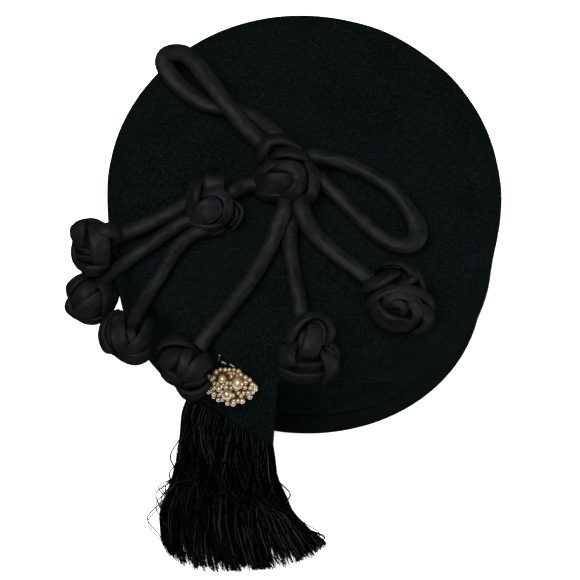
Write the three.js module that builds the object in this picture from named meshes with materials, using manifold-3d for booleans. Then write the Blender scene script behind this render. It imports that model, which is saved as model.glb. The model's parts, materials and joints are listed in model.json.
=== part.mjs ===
// Cocktail hat: an oval felt crown with a slit visor and a pointed tab, dressed with
// knotted satin cords, a fringe and a pearl brooch. Millimetres, +Z up.
// The origin is the centre of the head opening, at the level that the hat rests on.
import * as THREE from 'three';
import { mergeVertices } from 'three/addons/utils/BufferGeometryUtils.js';
import Module from 'manifold-3d';

const wasm = await Module();
wasm.setup();

// driving dimensions
const gap = 0.3;                 // clearance between touching pieces
const feltWall = 2.4;            // felt thickness
const baseHalfLength = 100;      // outside of the base band, long axis
const baseHalfWidth = 90;        // outside of the base band, short axis
const bandHeight = 25;
const bandWall = 2.3;
const ovalTurn = -12.5;          // degrees, long axis of the base oval from +X
const topRadius = 100;           // widest level of the crown
const shoulderRadius = 12;
const shoulderHeight = 107;      // centre of the shoulder arc
const topCrown = 1.5;            // rise of the top's middle
const topShiftX = 2.3;           // the top's centre stands off the base's centre
const topShiftY = 1.75;
const topTilt = 1.6;             // degrees, the top falls towards +X
const cordRadius = 3.6;          // satin rouleau
const cordSides = 8;
const tabTip = new THREE.Vector3(-14, -128, 89);
const tabCorner = new THREE.Vector3(-50, -105, 93);
const broochSeat = new THREE.Vector3(-33, -100.4, 105.95);
const broochNormal = new THREE.Vector3(-0.278, -0.667, 0.691);
const broochHalfLength = 13;
const broochHalfWidth = 9.6;
const largePearlRadius = 2.6;

const radians = THREE.MathUtils.degToRad;
const flatRadius = topRadius - shoulderRadius;
const innerBaseLength = baseHalfLength - bandWall - gap;
const innerBaseWidth = baseHalfWidth - bandWall - gap;

// outside of the crown below the shoulder, half sizes along the oval's two axes
const wallRows = [
  { height: 0, length: innerBaseLength, width: innerBaseWidth },
  { height: bandHeight, length: innerBaseLength, width: innerBaseWidth },
  { height: 27, length: 98.8, width: 88.8 },
  { height: 31, length: 101.4, width: 91.6 },
  { height: 36, length: 102.2, width: 92.4 },
  { height: 41, length: 102, width: 92.4 },
  { height: 47, length: 101.4, width: 92.6 },
  { height: 62, length: 101, width: 94 },
  { height: 82, length: 100.4, width: 97.4 },
  { height: shoulderHeight, length: topRadius, width: topRadius },
];

// the slit: angle from the front (-Y) towards +X, height of the upper edge, how far that
// edge stands out, how far the wall under it is set back, and how far it tucks up behind
const slitRows = [
  { angle: -180, height: 62, flare: 0, recess: 0, tuck: 0 },
  { angle: -90, height: 72, flare: 0, recess: 0, tuck: 0 },
  { angle: -60, height: 88, flare: 0, recess: 0, tuck: 0 },
  { angle: -45, height: 100, flare: 0, recess: 0, tuck: 0 },
  { angle: -37.5, height: 105, flare: 2.5, recess: 3, tuck: -0.8 },
  { angle: -30, height: 109, flare: 4, recess: 5, tuck: 3 },
  { angle: -7.5, height: 110, flare: 4.5, recess: 6, tuck: 4 },
  { angle: 7.5, height: 107, flare: 4.2, recess: 6, tuck: 4 },
  { angle: 15, height: 100, flare: 4, recess: 6, tuck: 3 },
  { angle: 22.5, height: 85, flare: 3.2, recess: 5, tuck: 2 },
  { angle: 26.25, height: 71, flare: 1.7, recess: 2.8, tuck: -0.8 },
  { angle: 30, height: 56, flare: 0, recess: 0, tuck: 0 },
  { angle: 60, height: 56, flare: 0, recess: 0, tuck: 0 },
  { angle: 180, height: 62, flare: 0, recess: 0, tuck: 0 },
];
const slitStart = -45;
const slitEnd = 30;
const slitColumns = 20;
const backColumns = 38;
const tabStart = -30;
const tabEnd = -7.5;
const tabRows = 4;
const topRings = [30, 56, 76, flatRadius];
const shoulderSteps = 5;
const lowerFades = [0.3, 0.6, 0.85];
const lowerHeights = [47, 41, 36, 31, 27, bandHeight, 0];
const recessFoot = 44;           // the set-back ends at this height

function readRow(rows, key, at) {
  let i = 1;
  while (i < rows.length - 1 && rows[i][key] < at) i += 1;
  const a = rows[i - 1];
  const b = rows[i];
  const t = THREE.MathUtils.clamp((at - a[key]) / (b[key] - a[key]), 0, 1);
  const out = {};
  for (const name of Object.keys(a)) out[name] = a[name] + (b[name] - a[name]) * t;
  return out;
}

function fade(x) {
  const t = THREE.MathUtils.clamp(x, 0, 1);
  return t * t * (3 - 2 * t);
}

// half sizes of the crown's outside at one height, up to the edge of the flat top
function section(height) {
  if (height <= shoulderHeight) return readRow(wallRows, 'height', height);
  const rise = Math.min(height - shoulderHeight, shoulderRadius);
  const radius = flatRadius + Math.sqrt(shoulderRadius ** 2 - rise ** 2);
  return { length: radius, width: radius };
}

// the outside's point at one angle from the front, moved outwards by offset
function place(angle, halfLength, halfWidth, height, offset = 0) {
  const direction = radians(angle - 90);
  const turned = direction - radians(ovalTurn);
  const radius = 1 / Math.hypot(Math.cos(turned) / halfLength, Math.sin(turned) / halfWidth);
  const x = (radius + offset) * Math.cos(direction);
  const y = (radius + offset) * Math.sin(direction);
  const lift = Math.max(0, height - bandHeight - 3) / (shoulderHeight - bandHeight - 3);
  return new THREE.Vector3(
    x + topShiftX * lift, y + topShiftY * lift, height - Math.tan(radians(topTilt)) * x * lift);
}

// an open sheet of shared points and faces, thickened inwards to a closed felt wall
class Sheet {
  constructor() { this.points = []; this.faces = []; }
  add(point) { this.points.push(point); return this.points.length - 1; }
  quad(a, b, c, d) { this.faces.push([a, b, c], [a, c, d]); }
  rows(upper, lower, closed) {
    const last = closed ? upper.length : upper.length - 1;
    for (let i = 0; i < last; i += 1) {
      const j = (i + 1) % upper.length;
      if (upper[i] !== lower[i] || upper[j] !== lower[j]) this.quad(upper[i], lower[i], lower[j], upper[j]);
    }
  }
  thicken(wall) {
    const normals = this.points.map(() => new THREE.Vector3());
    for (const [a, b, c] of this.faces) {
      const u = this.points[b].clone().sub(this.points[a]);
      const v = this.points[c].clone().sub(this.points[a]);
      const n = u.cross(v);
      for (const i of [a, b, c]) normals[i].add(n);
    }
    const count = this.points.length;
    const position = [];
    for (const p of this.points) position.push(p.x, p.y, p.z);
    this.points.forEach((p, i) => {
      const q = p.clone().addScaledVector(normals[i].normalize(), -wall);
      position.push(q.x, q.y, p.z === 0 ? 0 : q.z);
    });
    const index = [];
    const edges = new Map();
    for (const [a, b, c] of this.faces) {
      index.push(a, b, c, a + count, c + count, b + count);
      for (const [s, e] of [[a, b], [b, c], [c, a]]) {
        if (edges.has(`${e} ${s}`)) edges.delete(`${e} ${s}`);
        else edges.set(`${s} ${e}`, [s, e]);
      }
    }
    for (const [s, e] of edges.values()) {
      index.push(s, e + count, e, s, s + count, e + count);
    }
    const geometry = new THREE.BufferGeometry();
    geometry.setAttribute('position', new THREE.Float32BufferAttribute(position, 3));
    geometry.setIndex(index);
    return geometry;
  }
}

// height along the shoulder and wall, a share of the way from the flat top to the slit
function sideHeight(share, slitHeight) {
  const rise = Math.max(0, slitHeight - shoulderHeight);
  const arc = shoulderRadius * (Math.PI / 2 - Math.asin(rise / shoulderRadius));
  const total = arc + Math.max(0, shoulderHeight - slitHeight);
  const along = share * total;
  if (along <= arc) return shoulderHeight + shoulderRadius * Math.cos(along / shoulderRadius);
  return shoulderHeight - (along - arc);
}

function crownGeometry() {
  const angles = [];
  for (let i = 0; i <= slitColumns; i += 1) {
    angles.push(slitStart + (slitEnd - slitStart) * i / slitColumns);
  }
  for (let i = 1; i < backColumns; i += 1) {
    angles.push(slitEnd + (360 - slitEnd + slitStart) * i / backColumns);
  }
  const columns = angles.map((angle) => {
    const wrapped = angle > 180 ? angle - 360 : angle;
    return { angle: wrapped, ...readRow(slitRows, 'angle', wrapped) };
  });
  const sheet = new Sheet();

  // the flat top
  const pole = sheet.add(place(0, 0.001, 0.001, shoulderHeight + shoulderRadius + topCrown));
  let ring = columns.map(() => pole);
  for (const radius of topRings) {
    const height = shoulderHeight + shoulderRadius + topCrown * (1 - (radius / flatRadius) ** 2);
    const next = columns.map((c) => sheet.add(place(c.angle, radius, radius, height)));
    if (radius === topRings[0]) {
      next.forEach((p, i) => sheet.faces.push([pole, p, next[(i + 1) % next.length]]));
    } else {
      sheet.rows(ring, next, true);
    }
    ring = next;
  }

  // the shoulder and the wall down to the slit's upper edge
  for (let k = 1; k <= shoulderSteps; k += 1) {
    const share = k / shoulderSteps;
    const next = columns.map((c) => {
      const height = sideHeight(share, c.height);
      const { length, width } = section(height);
      return sheet.add(place(c.angle, length, width, height, c.flare * share * share));
    });
    sheet.rows(ring, next, true);
    ring = next;
  }
  const lip = ring;

  // the wall from the slit down to the rim; both edges are one outside the slit
  const inSlit = (c) => c.angle > slitStart && c.angle < slitEnd;
  ring = columns.map((c, i) => {
    if (!inSlit(c)) return lip[i];
    const height = c.height + c.tuck;
    const { length, width } = section(height);
    return sheet.add(place(c.angle, length, width, height, -c.recess));
  });
  const lowerPoint = (c, height) => {
    const { length, width } = section(height);
    const share = fade((height - recessFoot) / (c.height - recessFoot));
    return sheet.add(place(c.angle, length, width, height, -c.recess * share));
  };
  const steps = [
    ...lowerFades.map((f) => (c) => c.height + c.tuck + (lowerHeights[0] - c.height - c.tuck) * f),
    ...lowerHeights.map((height) => () => height),
  ];
  for (const heightOf of steps) {
    const next = columns.map((c) => lowerPoint(c, heightOf(c)));
    sheet.rows(ring, next, true);
    ring = next;
  }

  // the pointed tab runs on from the slit's upper edge
  const first = columns.findIndex((c) => c.angle === tabStart);
  const last = columns.findIndex((c) => c.angle === tabEnd);
  let row = lip.slice(first, last + 1);
  const root = row.map((i) => sheet.points[i]);
  for (let k = 1; k <= tabRows; k += 1) {
    const next = root.map((p, i) => {
      const edge = tabCorner.clone().lerp(tabTip, i / (root.length - 1));
      return sheet.add(p.clone().lerp(edge, k / tabRows));
    });
    sheet.rows(row, next, false);
    row = next;
  }
  return sheet.thicken(feltWall);
}

function bandGeometry() {
  const turn = radians(ovalTurn);
  const outline = new THREE.Shape();
  outline.absellipse(0, 0, baseHalfLength, baseHalfWidth, 0, 2 * Math.PI, false, turn);
  const hole = new THREE.Path();
  hole.absellipse(0, 0, baseHalfLength - bandWall, baseHalfWidth - bandWall, 0, 2 * Math.PI, true, turn);
  outline.holes.push(hole);
  return new THREE.ExtrudeGeometry(outline, { depth: bandHeight, bevelEnabled: false, curveSegments: 48 });
}

// solids for the boolean cuts
function solid(geometry) {
  const plain = geometry.clone();
  plain.deleteAttribute('normal');
  plain.deleteAttribute('uv');
  const merged = mergeVertices(plain, 1e-4);
  return new wasm.Manifold(new wasm.Mesh({
    numProp: 3,
    vertProperties: merged.attributes.position.array,
    triVerts: merged.index.array,
  }));
}

function toGeometry(manifold) {
  const mesh = manifold.getMesh();
  const geometry = new THREE.BufferGeometry();
  geometry.setAttribute('position', new THREE.BufferAttribute(mesh.vertProperties, 3));
  geometry.setIndex(new THREE.BufferAttribute(mesh.triVerts, 1));
  return geometry;
}

// routes of the satin cords, from the knot outwards
const cordRoutes = {
  loop_upper: {
    steps: 20,
    route: [
      [-20.5, 20, 130], [-25.9, 24.3, 132], [-31.9, 31.2, 134.5], [-37.9, 38.7, 135.8], [-46.3, 50.8, 136.2],
      [-52.2, 59.3, 136], [-58, 65.4, 135.2], [-63.7, 69, 133.2], [-68.5, 69.5, 131], [-71, 66, 129],
      [-69.2, 61.4, 127.6], [-63.7, 54.4, 126.4], [-56.7, 48.4, 125.8], [-50, 43.5, 125.5], [-43, 41.2, 125.4],
      [-36.5, 40, 125.4], [-29.5, 38, 125.5], [-22, 33.5, 126.6], [-16, 27.6, 128.6], [-12.5, 23.5, 129.6],
    ],
  },
  loop_right: {
    steps: 16,
    route: [
      [-1, 11.6, 129.8], [6, 11.4, 129.4], [12.5, 10.6, 128.7], [20, 9, 127.9], [28, 6, 126.7],
      [36.5, 2, 125.3], [43.5, -2.6, 124.4], [49.5, -9, 123.7], [54.5, -16.2, 122.9], [57.8, -23, 122.4],
      [58.3, -28.8, 122.3], [55.6, -33, 122.3], [50.5, -34.8, 122.5], [44.4, -33, 122.8],
      [37.8, -28.3, 123.1], [31.3, -22, 123.5], [24.7, -15, 124], [18, -8.2, 125],
      [12.8, -3.2, 126.5], [9.8, -0.6, 127.4],
    ],
  },
  link_cord: { steps: 2, route: [[-21, -2.9, 128], [-27.5, -4.3, 127.4], [-33.2, -7.6, 128.3]] },
  tail_one: {
    steps: 6,
    route: [
      [-49.2, -11.4, 130.8], [-53, -13, 130.4], [-57, -15, 129], [-61, -17, 127.4], [-66.2, -19.4, 126],
      [-72, -22.4, 125.9], [-78, -25.3, 125.9], [-84, -27.8, 125.3], [-91, -30.4, 124.4],
    ],
  },
  tail_two: {
    steps: 7,
    route: [
      [-54.5, -22.8, 128.6], [-60, -25.4, 127], [-66, -29.4, 125.9], [-71.6, -33.8, 125.7],
      [-77.4, -38.2, 125.5], [-84, -42, 123], [-91, -45.2, 117.4], [-95.5, -47, 113.2], [-98, -48.6, 110.6],
    ],
  },
  tail_three: {
    steps: 8,
    route: [
      [-49.9, -28.9, 127.4], [-54, -30.9, 126.3], [-58.2, -34.2, 125.8], [-62.5, -39.6, 125.6], [-65.9, -46, 125.5],
      [-69.2, -52.6, 125.1], [-73.6, -58.6, 122.4], [-77.6, -63.6, 117.2], [-80.6, -67, 112], [-82.3, -69.3, 108.5],
    ],
  },
  tail_four: {
    steps: 9,
    route: [
      [-7.4, -13, 131.6], [-8, -19, 131.3], [-11, -26, 129.2], [-13.4, -32.3, 126.6], [-16.4, -38.6, 125.1],
      [-20, -46, 124.9], [-23.9, -53.1, 124.9], [-31.7, -64.3, 124.8], [-39.3, -74.6, 124.6],
      [-45.5, -82.1, 123], [-49, -87.8, 121.6],
    ],
  },
  tail_five: {
    steps: 6,
    route: [
      [-4, -11, 124.7], [-4, -17.5, 124.7], [-4.6, -24, 124.7], [-5.4, -30, 124.6],
      [-4.7, -40.4, 124.5], [-2.6, -53.6, 124.2], [-0.9, -62, 124.1], [0, -69.6, 124.1],
    ],
  },
  tail_six: {
    steps: 6,
    route: [
      [0.2, -13, 131.5], [0.4, -18, 131.3], [2.8, -23.5, 128.9], [5.6, -27.6, 126], [9, -31.3, 124.4],
      [17.1, -39.2, 123.8], [26.1, -46.2, 123.4], [30.2, -49.5, 123.3], [34, -52.8, 123.4],
    ],
  },
};

function cordGeometry({ route, steps }, grow = 0) {
  const points = route.map((p) => new THREE.Vector3(...p));
  if (grow > 0) {
    const start = points[0].clone().sub(points[1]).setLength(grow);
    const end = points.at(-1).clone().sub(points.at(-2)).setLength(grow);
    points[0].add(start);
    points.at(-1).add(end);
  }
  const outline = new THREE.Shape();
  for (let i = 0; i < cordSides; i += 1) {
    const angle = 2 * Math.PI * i / cordSides;
    const x = (cordRadius + grow) * Math.cos(angle);
    const y = (cordRadius + grow) * Math.sin(angle);
    if (i === 0) outline.moveTo(x, y);
    else outline.lineTo(x, y);
  }
  const curve = new THREE.CatmullRomCurve3(points);
  return new THREE.ExtrudeGeometry(outline, { steps, extrudePath: curve, curveSegments: 1 });
}

// outer forms of the tied knots: rounded lobes joined into one solid
const knots = {
  main_knot: [
    { x: -13, y: 16, z: 129.6, rx: 10.5, ry: 8.5, rz: 8.2 },
    { x: -6.5, y: 9.5, z: 130.6, rx: 8.5, ry: 6.5, rz: 9.2 },
    { x: -13.5, y: -5.5, z: 131.2, rx: 9.5, ry: 9.5, rz: 9.8 },
    { x: -4, y: -3, z: 131.5, rx: 7.5, ry: 11, rz: 10.3 },
    { x: 6, y: -5.5, z: 129.2, rx: 5.5, ry: 11, rz: 8.2 },
  ],
  left_knot: [
    { x: -44.5, y: -19, z: 131.6, rx: 13.5, ry: 14, rz: 9.8 },
    { x: -43, y: -6.5, z: 129.6, rx: 9, ry: 7.5, rz: 7.8 },
    { x: -35, y: -21, z: 127.2, rx: 6, ry: 9, rz: 5.6 },
  ],
  rosette_one: [
    { x: -103.6, y: -36, z: 124, rx: 11, ry: 13.6, rz: 12 },
    { x: -93.4, y: -30, z: 124.2, rx: 6.5, ry: 6.5, rz: 6.5 },
  ],
  rosette_two: [{ x: -104.8, y: -55.2, z: 104, rx: 12.4, ry: 12.2, rz: 12 }],
  rosette_three: [
    { x: -85.3, y: -77.2, z: 102, rx: 12.5, ry: 11.6, rz: 11.6 },
    { x: -92, y: -74.5, z: 101, rx: 8, ry: 8, rz: 8 },
  ],
  rosette_four: [
    { x: -55.2, y: -98.5, z: 117.5, rx: 13, ry: 12.6, rz: 11.6 },
    { x: -57, y: -89, z: 121, rx: 8.5, ry: 7, rz: 7 },
  ],
  rosette_five: [
    { x: 3.2, y: -95, z: 128.9, rx: 16, ry: 13.4, rz: 11 },
    { x: 4.2, y: -78.6, z: 127, rx: 12, ry: 10, rz: 7 },
  ],
  rosette_six: [
    { x: 50.6, y: -70.4, z: 129, rx: 14.5, ry: 14.2, rz: 11 },
    { x: 40.4, y: -57.4, z: 126.4, rx: 9.5, ry: 9, rz: 7.5 },
  ],
};
const lobeSides = 10;
const lobeRings = 7;

function ellipsoid({ x, y, z, rx, ry, rz }) {
  const geometry = new THREE.SphereGeometry(1, lobeSides, lobeRings);
  geometry.scale(rx, ry, rz);
  geometry.translate(x, y, z);
  return geometry;
}

function knotGeometry(lobes) {
  let body = solid(ellipsoid(lobes[0]));
  for (const lobe of lobes.slice(1)) body = body.add(solid(ellipsoid(lobe)));
  for (const cord of Object.values(cordRoutes)) body = body.subtract(solid(cordGeometry(cord, gap)));
  return toGeometry(body);
}

// the fringe's outer form: its left and right edges from the header down to the floor,
// its thickness, and how far its thin direction turns from level (0) to upright (90)
const fringeRows = [
  { lx: -55, ly: -100.5, lz: 90.1, rx: -15.5, ry: -124, rz: 86.6, thick: 4, turn: 0 },
  { lx: -58.5, ly: -101.5, lz: 70, rx: -14, ry: -125.5, rz: 68, thick: 7, turn: 0 },
  { lx: -61, ly: -102.5, lz: 45, rx: -12.5, ry: -126.5, rz: 43, thick: 10, turn: 0 },
  { lx: -63.5, ly: -104.5, lz: 22, rx: -10.5, ry: -128.5, rz: 20, thick: 12, turn: 12 },
  { lx: -66.5, ly: -110, lz: 9.6, rx: -7.5, ry: -132, rz: 8.6, thick: 12, turn: 50 },
  { lx: -70.5, ly: -122, lz: 5.4, rx: -2, ry: -140, rz: 5.2, thick: 10, turn: 84 },
  { lx: -73, ly: -138, lz: 4, rx: 9, ry: -148.5, rz: 4, thick: 8, turn: 90 },
  { lx: -68, ly: -154, lz: 3, rx: 12, ry: -155, rz: 3, thick: 6, turn: 90 },
  { lx: -60, ly: -165, lz: 2, rx: 0, ry: -164, rz: 2, thick: 4, turn: 90 },
];
const fringeAcross = 6;

function fringeGeometry() {
  const position = [];
  const index = [];
  const around = 2 * (fringeAcross + 1);
  for (const row of fringeRows) {
    const left = new THREE.Vector3(row.lx, row.ly, row.lz);
    const right = new THREE.Vector3(row.rx, row.ry, row.rz);
    const across = right.clone().sub(left).normalize();
    const out = new THREE.Vector3(across.y, -across.x, 0).normalize().multiplyScalar(Math.cos(radians(row.turn)));
    out.z = Math.sin(radians(row.turn));
    for (let i = 0; i < around; i += 1) {
      const front = i <= fringeAcross;
      const share = front ? i / fringeAcross : (around - 1 - i) / fringeAcross;
      const swell = 0.35 + 0.65 * Math.sqrt(1 - (2 * share - 1) ** 2);
      const side = (front ? 0.5 : -0.5) * row.thick * swell;
      const p = left.clone().lerp(right, share).addScaledVector(out, side);
      position.push(p.x, p.y, p.z);
    }
  }
  for (let k = 0; k + 1 < fringeRows.length; k += 1) {
    for (let i = 0; i < around; i += 1) {
      const a = k * around + i;
      const b = k * around + (i + 1) % around;
      index.push(a, a + around, b, b, a + around, b + around);
    }
  }
  const lastRow = (fringeRows.length - 1) * around;
  for (let i = 1; i + 1 < around; i += 1) {
    index.push(0, i, i + 1);
    index.push(lastRow, lastRow + i + 1, lastRow + i);
  }
  const geometry = new THREE.BufferGeometry();
  geometry.setAttribute('position', new THREE.Float32BufferAttribute(position, 3));
  geometry.setIndex(index);
  return geometry;
}

// brooch, built flat on its own seat: pin, back plate, pearl paving and three large pearls
const pinRadius = 0.7;
const plateBottom = gap + 2 * pinRadius + gap;
const plateThickness = 1.2;
const clusterBottom = plateBottom + plateThickness + gap;
const clusterRise = 3.4;
const largePearls = [
  { name: 'large_pearl_one', x: -1.8, y: 4.4 },
  { name: 'large_pearl_two', x: 6, y: 2.9 },
  { name: 'large_pearl_three', x: 0.7, y: -4.1 },
];
const largePearlHeight = clusterBottom + 3.9;

function plateGeometry() {
  const outline = new THREE.Shape();
  outline.absellipse(0, 0, broochHalfLength - 1, broochHalfWidth - 1, 0, 2 * Math.PI, false, 0);
  const geometry = new THREE.ExtrudeGeometry(outline, { depth: plateThickness, bevelEnabled: false, curveSegments: 12 });
  geometry.translate(0, 0, plateBottom);
  return geometry;
}

function clusterGeometry() {
  const profile = [];
  const rings = 5;
  for (let i = 0; i <= rings; i += 1) {
    const angle = Math.PI / 2 * i / rings;
    profile.push(new THREE.Vector2(Math.cos(angle), clusterRise * (0.35 + 0.65 * Math.sin(angle))));
  }
  profile[rings].x = 0;
  const geometry = new THREE.LatheGeometry([new THREE.Vector2(0, 0), new THREE.Vector2(1, 0), ...profile], 20);
  geometry.rotateX(Math.PI / 2);
  geometry.scale(broochHalfLength, broochHalfWidth, 1);
  geometry.translate(0, 0, clusterBottom);
  let body = solid(geometry);
  for (const pearl of largePearls) {
    const hollow = new THREE.SphereGeometry(largePearlRadius + gap, 12, 8);
    hollow.translate(pearl.x, pearl.y, largePearlHeight);
    body = body.subtract(solid(hollow));
  }
  return toGeometry(body);
}

// materials
const felt = new THREE.MeshStandardMaterial({ color: 0x0a0f0f, roughness: 0.95 });
const satin = new THREE.MeshStandardMaterial({ color: 0x232123, roughness: 0.45 });
const silk = new THREE.MeshStandardMaterial({ color: 0x0b0f0f, roughness: 0.6 });
const pearl = new THREE.MeshStandardMaterial({ color: 0xe6cd98, roughness: 0.25, metalness: 0.1 });
const gilt = new THREE.MeshStandardMaterial({ color: 0xb08d4a, roughness: 0.3, metalness: 1 });

const hat = new THREE.Group();

function addMesh(parent, name, geometry, material) {
  const mesh = new THREE.Mesh(geometry, material);
  mesh.name = name;
  parent.add(mesh);
  return mesh;
}

addMesh(hat, 'crown', crownGeometry(), felt);
addMesh(hat, 'base_band', bandGeometry(), felt);
for (const [name, cord] of Object.entries(cordRoutes)) addMesh(hat, name, cordGeometry(cord), satin);
for (const [name, lobes] of Object.entries(knots)) addMesh(hat, name, knotGeometry(lobes), satin);
addMesh(hat, 'fringe', fringeGeometry(), silk);

const brooch = new THREE.Group();
const along = new THREE.Vector3(1, 0, 0).addScaledVector(broochNormal, -broochNormal.x).normalize();
const upward = broochNormal.clone().normalize();
brooch.quaternion.setFromRotationMatrix(new THREE.Matrix4().makeBasis(along, upward.clone().cross(along), upward));
brooch.position.copy(broochSeat);
hat.add(brooch);
const pin = new THREE.CylinderGeometry(pinRadius, pinRadius, 1.5 * broochHalfLength, 8);
pin.rotateZ(Math.PI / 2);
addMesh(brooch, 'brooch_pin', pin, gilt).position.set(0, 0, gap + pinRadius);
addMesh(brooch, 'brooch_plate', plateGeometry(), gilt);
addMesh(brooch, 'pearl_cluster', clusterGeometry(), pearl);
for (const { name, x, y } of largePearls) {
  const ball = new THREE.SphereGeometry(largePearlRadius, 12, 8);
  addMesh(brooch, name, ball, pearl).position.set(x, y, largePearlHeight);
}

export default hat;
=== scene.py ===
import json
import random
from math import asin, copysign, cos, exp, hypot, pi, radians, sin, sqrt, tan

import bpy
from mathutils import Matrix, Vector, noise
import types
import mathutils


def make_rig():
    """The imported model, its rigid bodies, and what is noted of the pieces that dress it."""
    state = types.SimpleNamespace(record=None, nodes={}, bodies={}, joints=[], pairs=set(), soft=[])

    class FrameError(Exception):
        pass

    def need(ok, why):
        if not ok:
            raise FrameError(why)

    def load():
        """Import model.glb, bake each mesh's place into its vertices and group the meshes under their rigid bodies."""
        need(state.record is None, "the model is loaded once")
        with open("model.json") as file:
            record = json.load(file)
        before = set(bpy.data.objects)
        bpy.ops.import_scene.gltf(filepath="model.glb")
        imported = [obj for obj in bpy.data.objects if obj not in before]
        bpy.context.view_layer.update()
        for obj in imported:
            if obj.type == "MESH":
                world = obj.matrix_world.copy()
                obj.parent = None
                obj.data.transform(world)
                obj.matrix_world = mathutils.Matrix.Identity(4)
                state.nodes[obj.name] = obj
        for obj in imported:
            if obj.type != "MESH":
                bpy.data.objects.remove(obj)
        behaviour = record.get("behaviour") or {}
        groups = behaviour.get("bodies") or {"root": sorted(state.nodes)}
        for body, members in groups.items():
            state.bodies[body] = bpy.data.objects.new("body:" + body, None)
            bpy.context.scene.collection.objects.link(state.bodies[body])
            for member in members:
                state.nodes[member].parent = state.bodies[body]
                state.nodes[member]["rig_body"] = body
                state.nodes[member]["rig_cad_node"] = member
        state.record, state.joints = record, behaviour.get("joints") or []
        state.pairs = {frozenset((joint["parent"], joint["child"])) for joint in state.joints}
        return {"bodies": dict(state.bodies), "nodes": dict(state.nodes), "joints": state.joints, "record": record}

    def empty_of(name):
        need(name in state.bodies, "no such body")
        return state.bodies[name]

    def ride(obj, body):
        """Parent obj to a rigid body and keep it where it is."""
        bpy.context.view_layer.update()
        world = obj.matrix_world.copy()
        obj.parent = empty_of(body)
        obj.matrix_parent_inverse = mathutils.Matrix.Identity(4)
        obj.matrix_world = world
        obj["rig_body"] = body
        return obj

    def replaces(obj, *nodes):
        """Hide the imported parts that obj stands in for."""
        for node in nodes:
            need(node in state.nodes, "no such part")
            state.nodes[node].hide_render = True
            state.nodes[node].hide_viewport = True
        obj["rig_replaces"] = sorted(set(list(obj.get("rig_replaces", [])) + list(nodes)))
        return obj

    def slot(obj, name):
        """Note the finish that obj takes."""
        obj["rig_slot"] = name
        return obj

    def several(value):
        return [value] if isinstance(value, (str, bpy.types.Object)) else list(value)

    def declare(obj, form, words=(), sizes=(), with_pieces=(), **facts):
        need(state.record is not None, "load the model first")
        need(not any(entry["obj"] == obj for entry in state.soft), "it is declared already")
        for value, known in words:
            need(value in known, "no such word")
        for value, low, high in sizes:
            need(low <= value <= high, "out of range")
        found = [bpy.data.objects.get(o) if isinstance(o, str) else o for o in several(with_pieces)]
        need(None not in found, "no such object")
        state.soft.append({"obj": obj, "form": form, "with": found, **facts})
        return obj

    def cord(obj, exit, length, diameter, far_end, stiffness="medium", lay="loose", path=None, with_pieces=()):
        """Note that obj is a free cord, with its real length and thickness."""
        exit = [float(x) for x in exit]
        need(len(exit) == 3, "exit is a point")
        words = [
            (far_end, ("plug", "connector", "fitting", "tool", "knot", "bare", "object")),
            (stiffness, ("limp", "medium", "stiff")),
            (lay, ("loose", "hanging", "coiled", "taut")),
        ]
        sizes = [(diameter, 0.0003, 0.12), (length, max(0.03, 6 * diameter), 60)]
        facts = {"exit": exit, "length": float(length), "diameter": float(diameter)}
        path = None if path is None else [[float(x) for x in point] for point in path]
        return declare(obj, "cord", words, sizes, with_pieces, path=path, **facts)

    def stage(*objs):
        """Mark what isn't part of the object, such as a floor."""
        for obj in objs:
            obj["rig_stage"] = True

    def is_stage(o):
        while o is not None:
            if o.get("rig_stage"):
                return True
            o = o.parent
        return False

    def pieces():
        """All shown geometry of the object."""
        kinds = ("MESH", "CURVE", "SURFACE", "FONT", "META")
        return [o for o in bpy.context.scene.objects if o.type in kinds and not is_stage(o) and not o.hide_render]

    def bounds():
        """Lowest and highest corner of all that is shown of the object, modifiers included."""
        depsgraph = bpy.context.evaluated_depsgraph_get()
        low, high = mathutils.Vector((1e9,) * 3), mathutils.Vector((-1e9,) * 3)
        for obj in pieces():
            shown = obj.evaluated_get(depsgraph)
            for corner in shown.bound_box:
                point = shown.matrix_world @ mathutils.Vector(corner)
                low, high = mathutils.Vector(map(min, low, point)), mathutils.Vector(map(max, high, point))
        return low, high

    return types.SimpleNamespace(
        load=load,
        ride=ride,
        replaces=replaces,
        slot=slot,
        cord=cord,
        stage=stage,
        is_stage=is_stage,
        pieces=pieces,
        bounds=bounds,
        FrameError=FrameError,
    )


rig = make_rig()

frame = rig.load()
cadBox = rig.bounds()
mm = 0.001    # every size below is in millimetres, in the part's own frame


def addObject(name, data):
    made = bpy.data.objects.new(name, data)
    bpy.context.collection.objects.link(made)
    return made


# camera, a little in front of straight above
cameraSetup = {"target": (-5.1, -28.3, 50), "elevation": 67.6, "distance": 1250, "lens": 148.2}


def addCamera(setup):
    data = bpy.data.cameras.new("camera")
    data.lens = setup["lens"]
    camera = addObject("camera", data)
    elevation = radians(setup["elevation"])
    back = Vector((0, -cos(elevation), sin(elevation)))
    camera.location = mm * (Vector(setup["target"]) + setup["distance"] * back)
    camera.rotation_euler = (pi / 2 - elevation, 0, 0)
    bpy.context.scene.camera = camera


addCamera(cameraSetup)


# small helpers for curves and tables
def fade(x):
    x = min(1.0, max(0.0, x))
    return x * x * (3 - 2 * x)


def mix(a, b, t):
    return a + (b - a) * t


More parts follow.
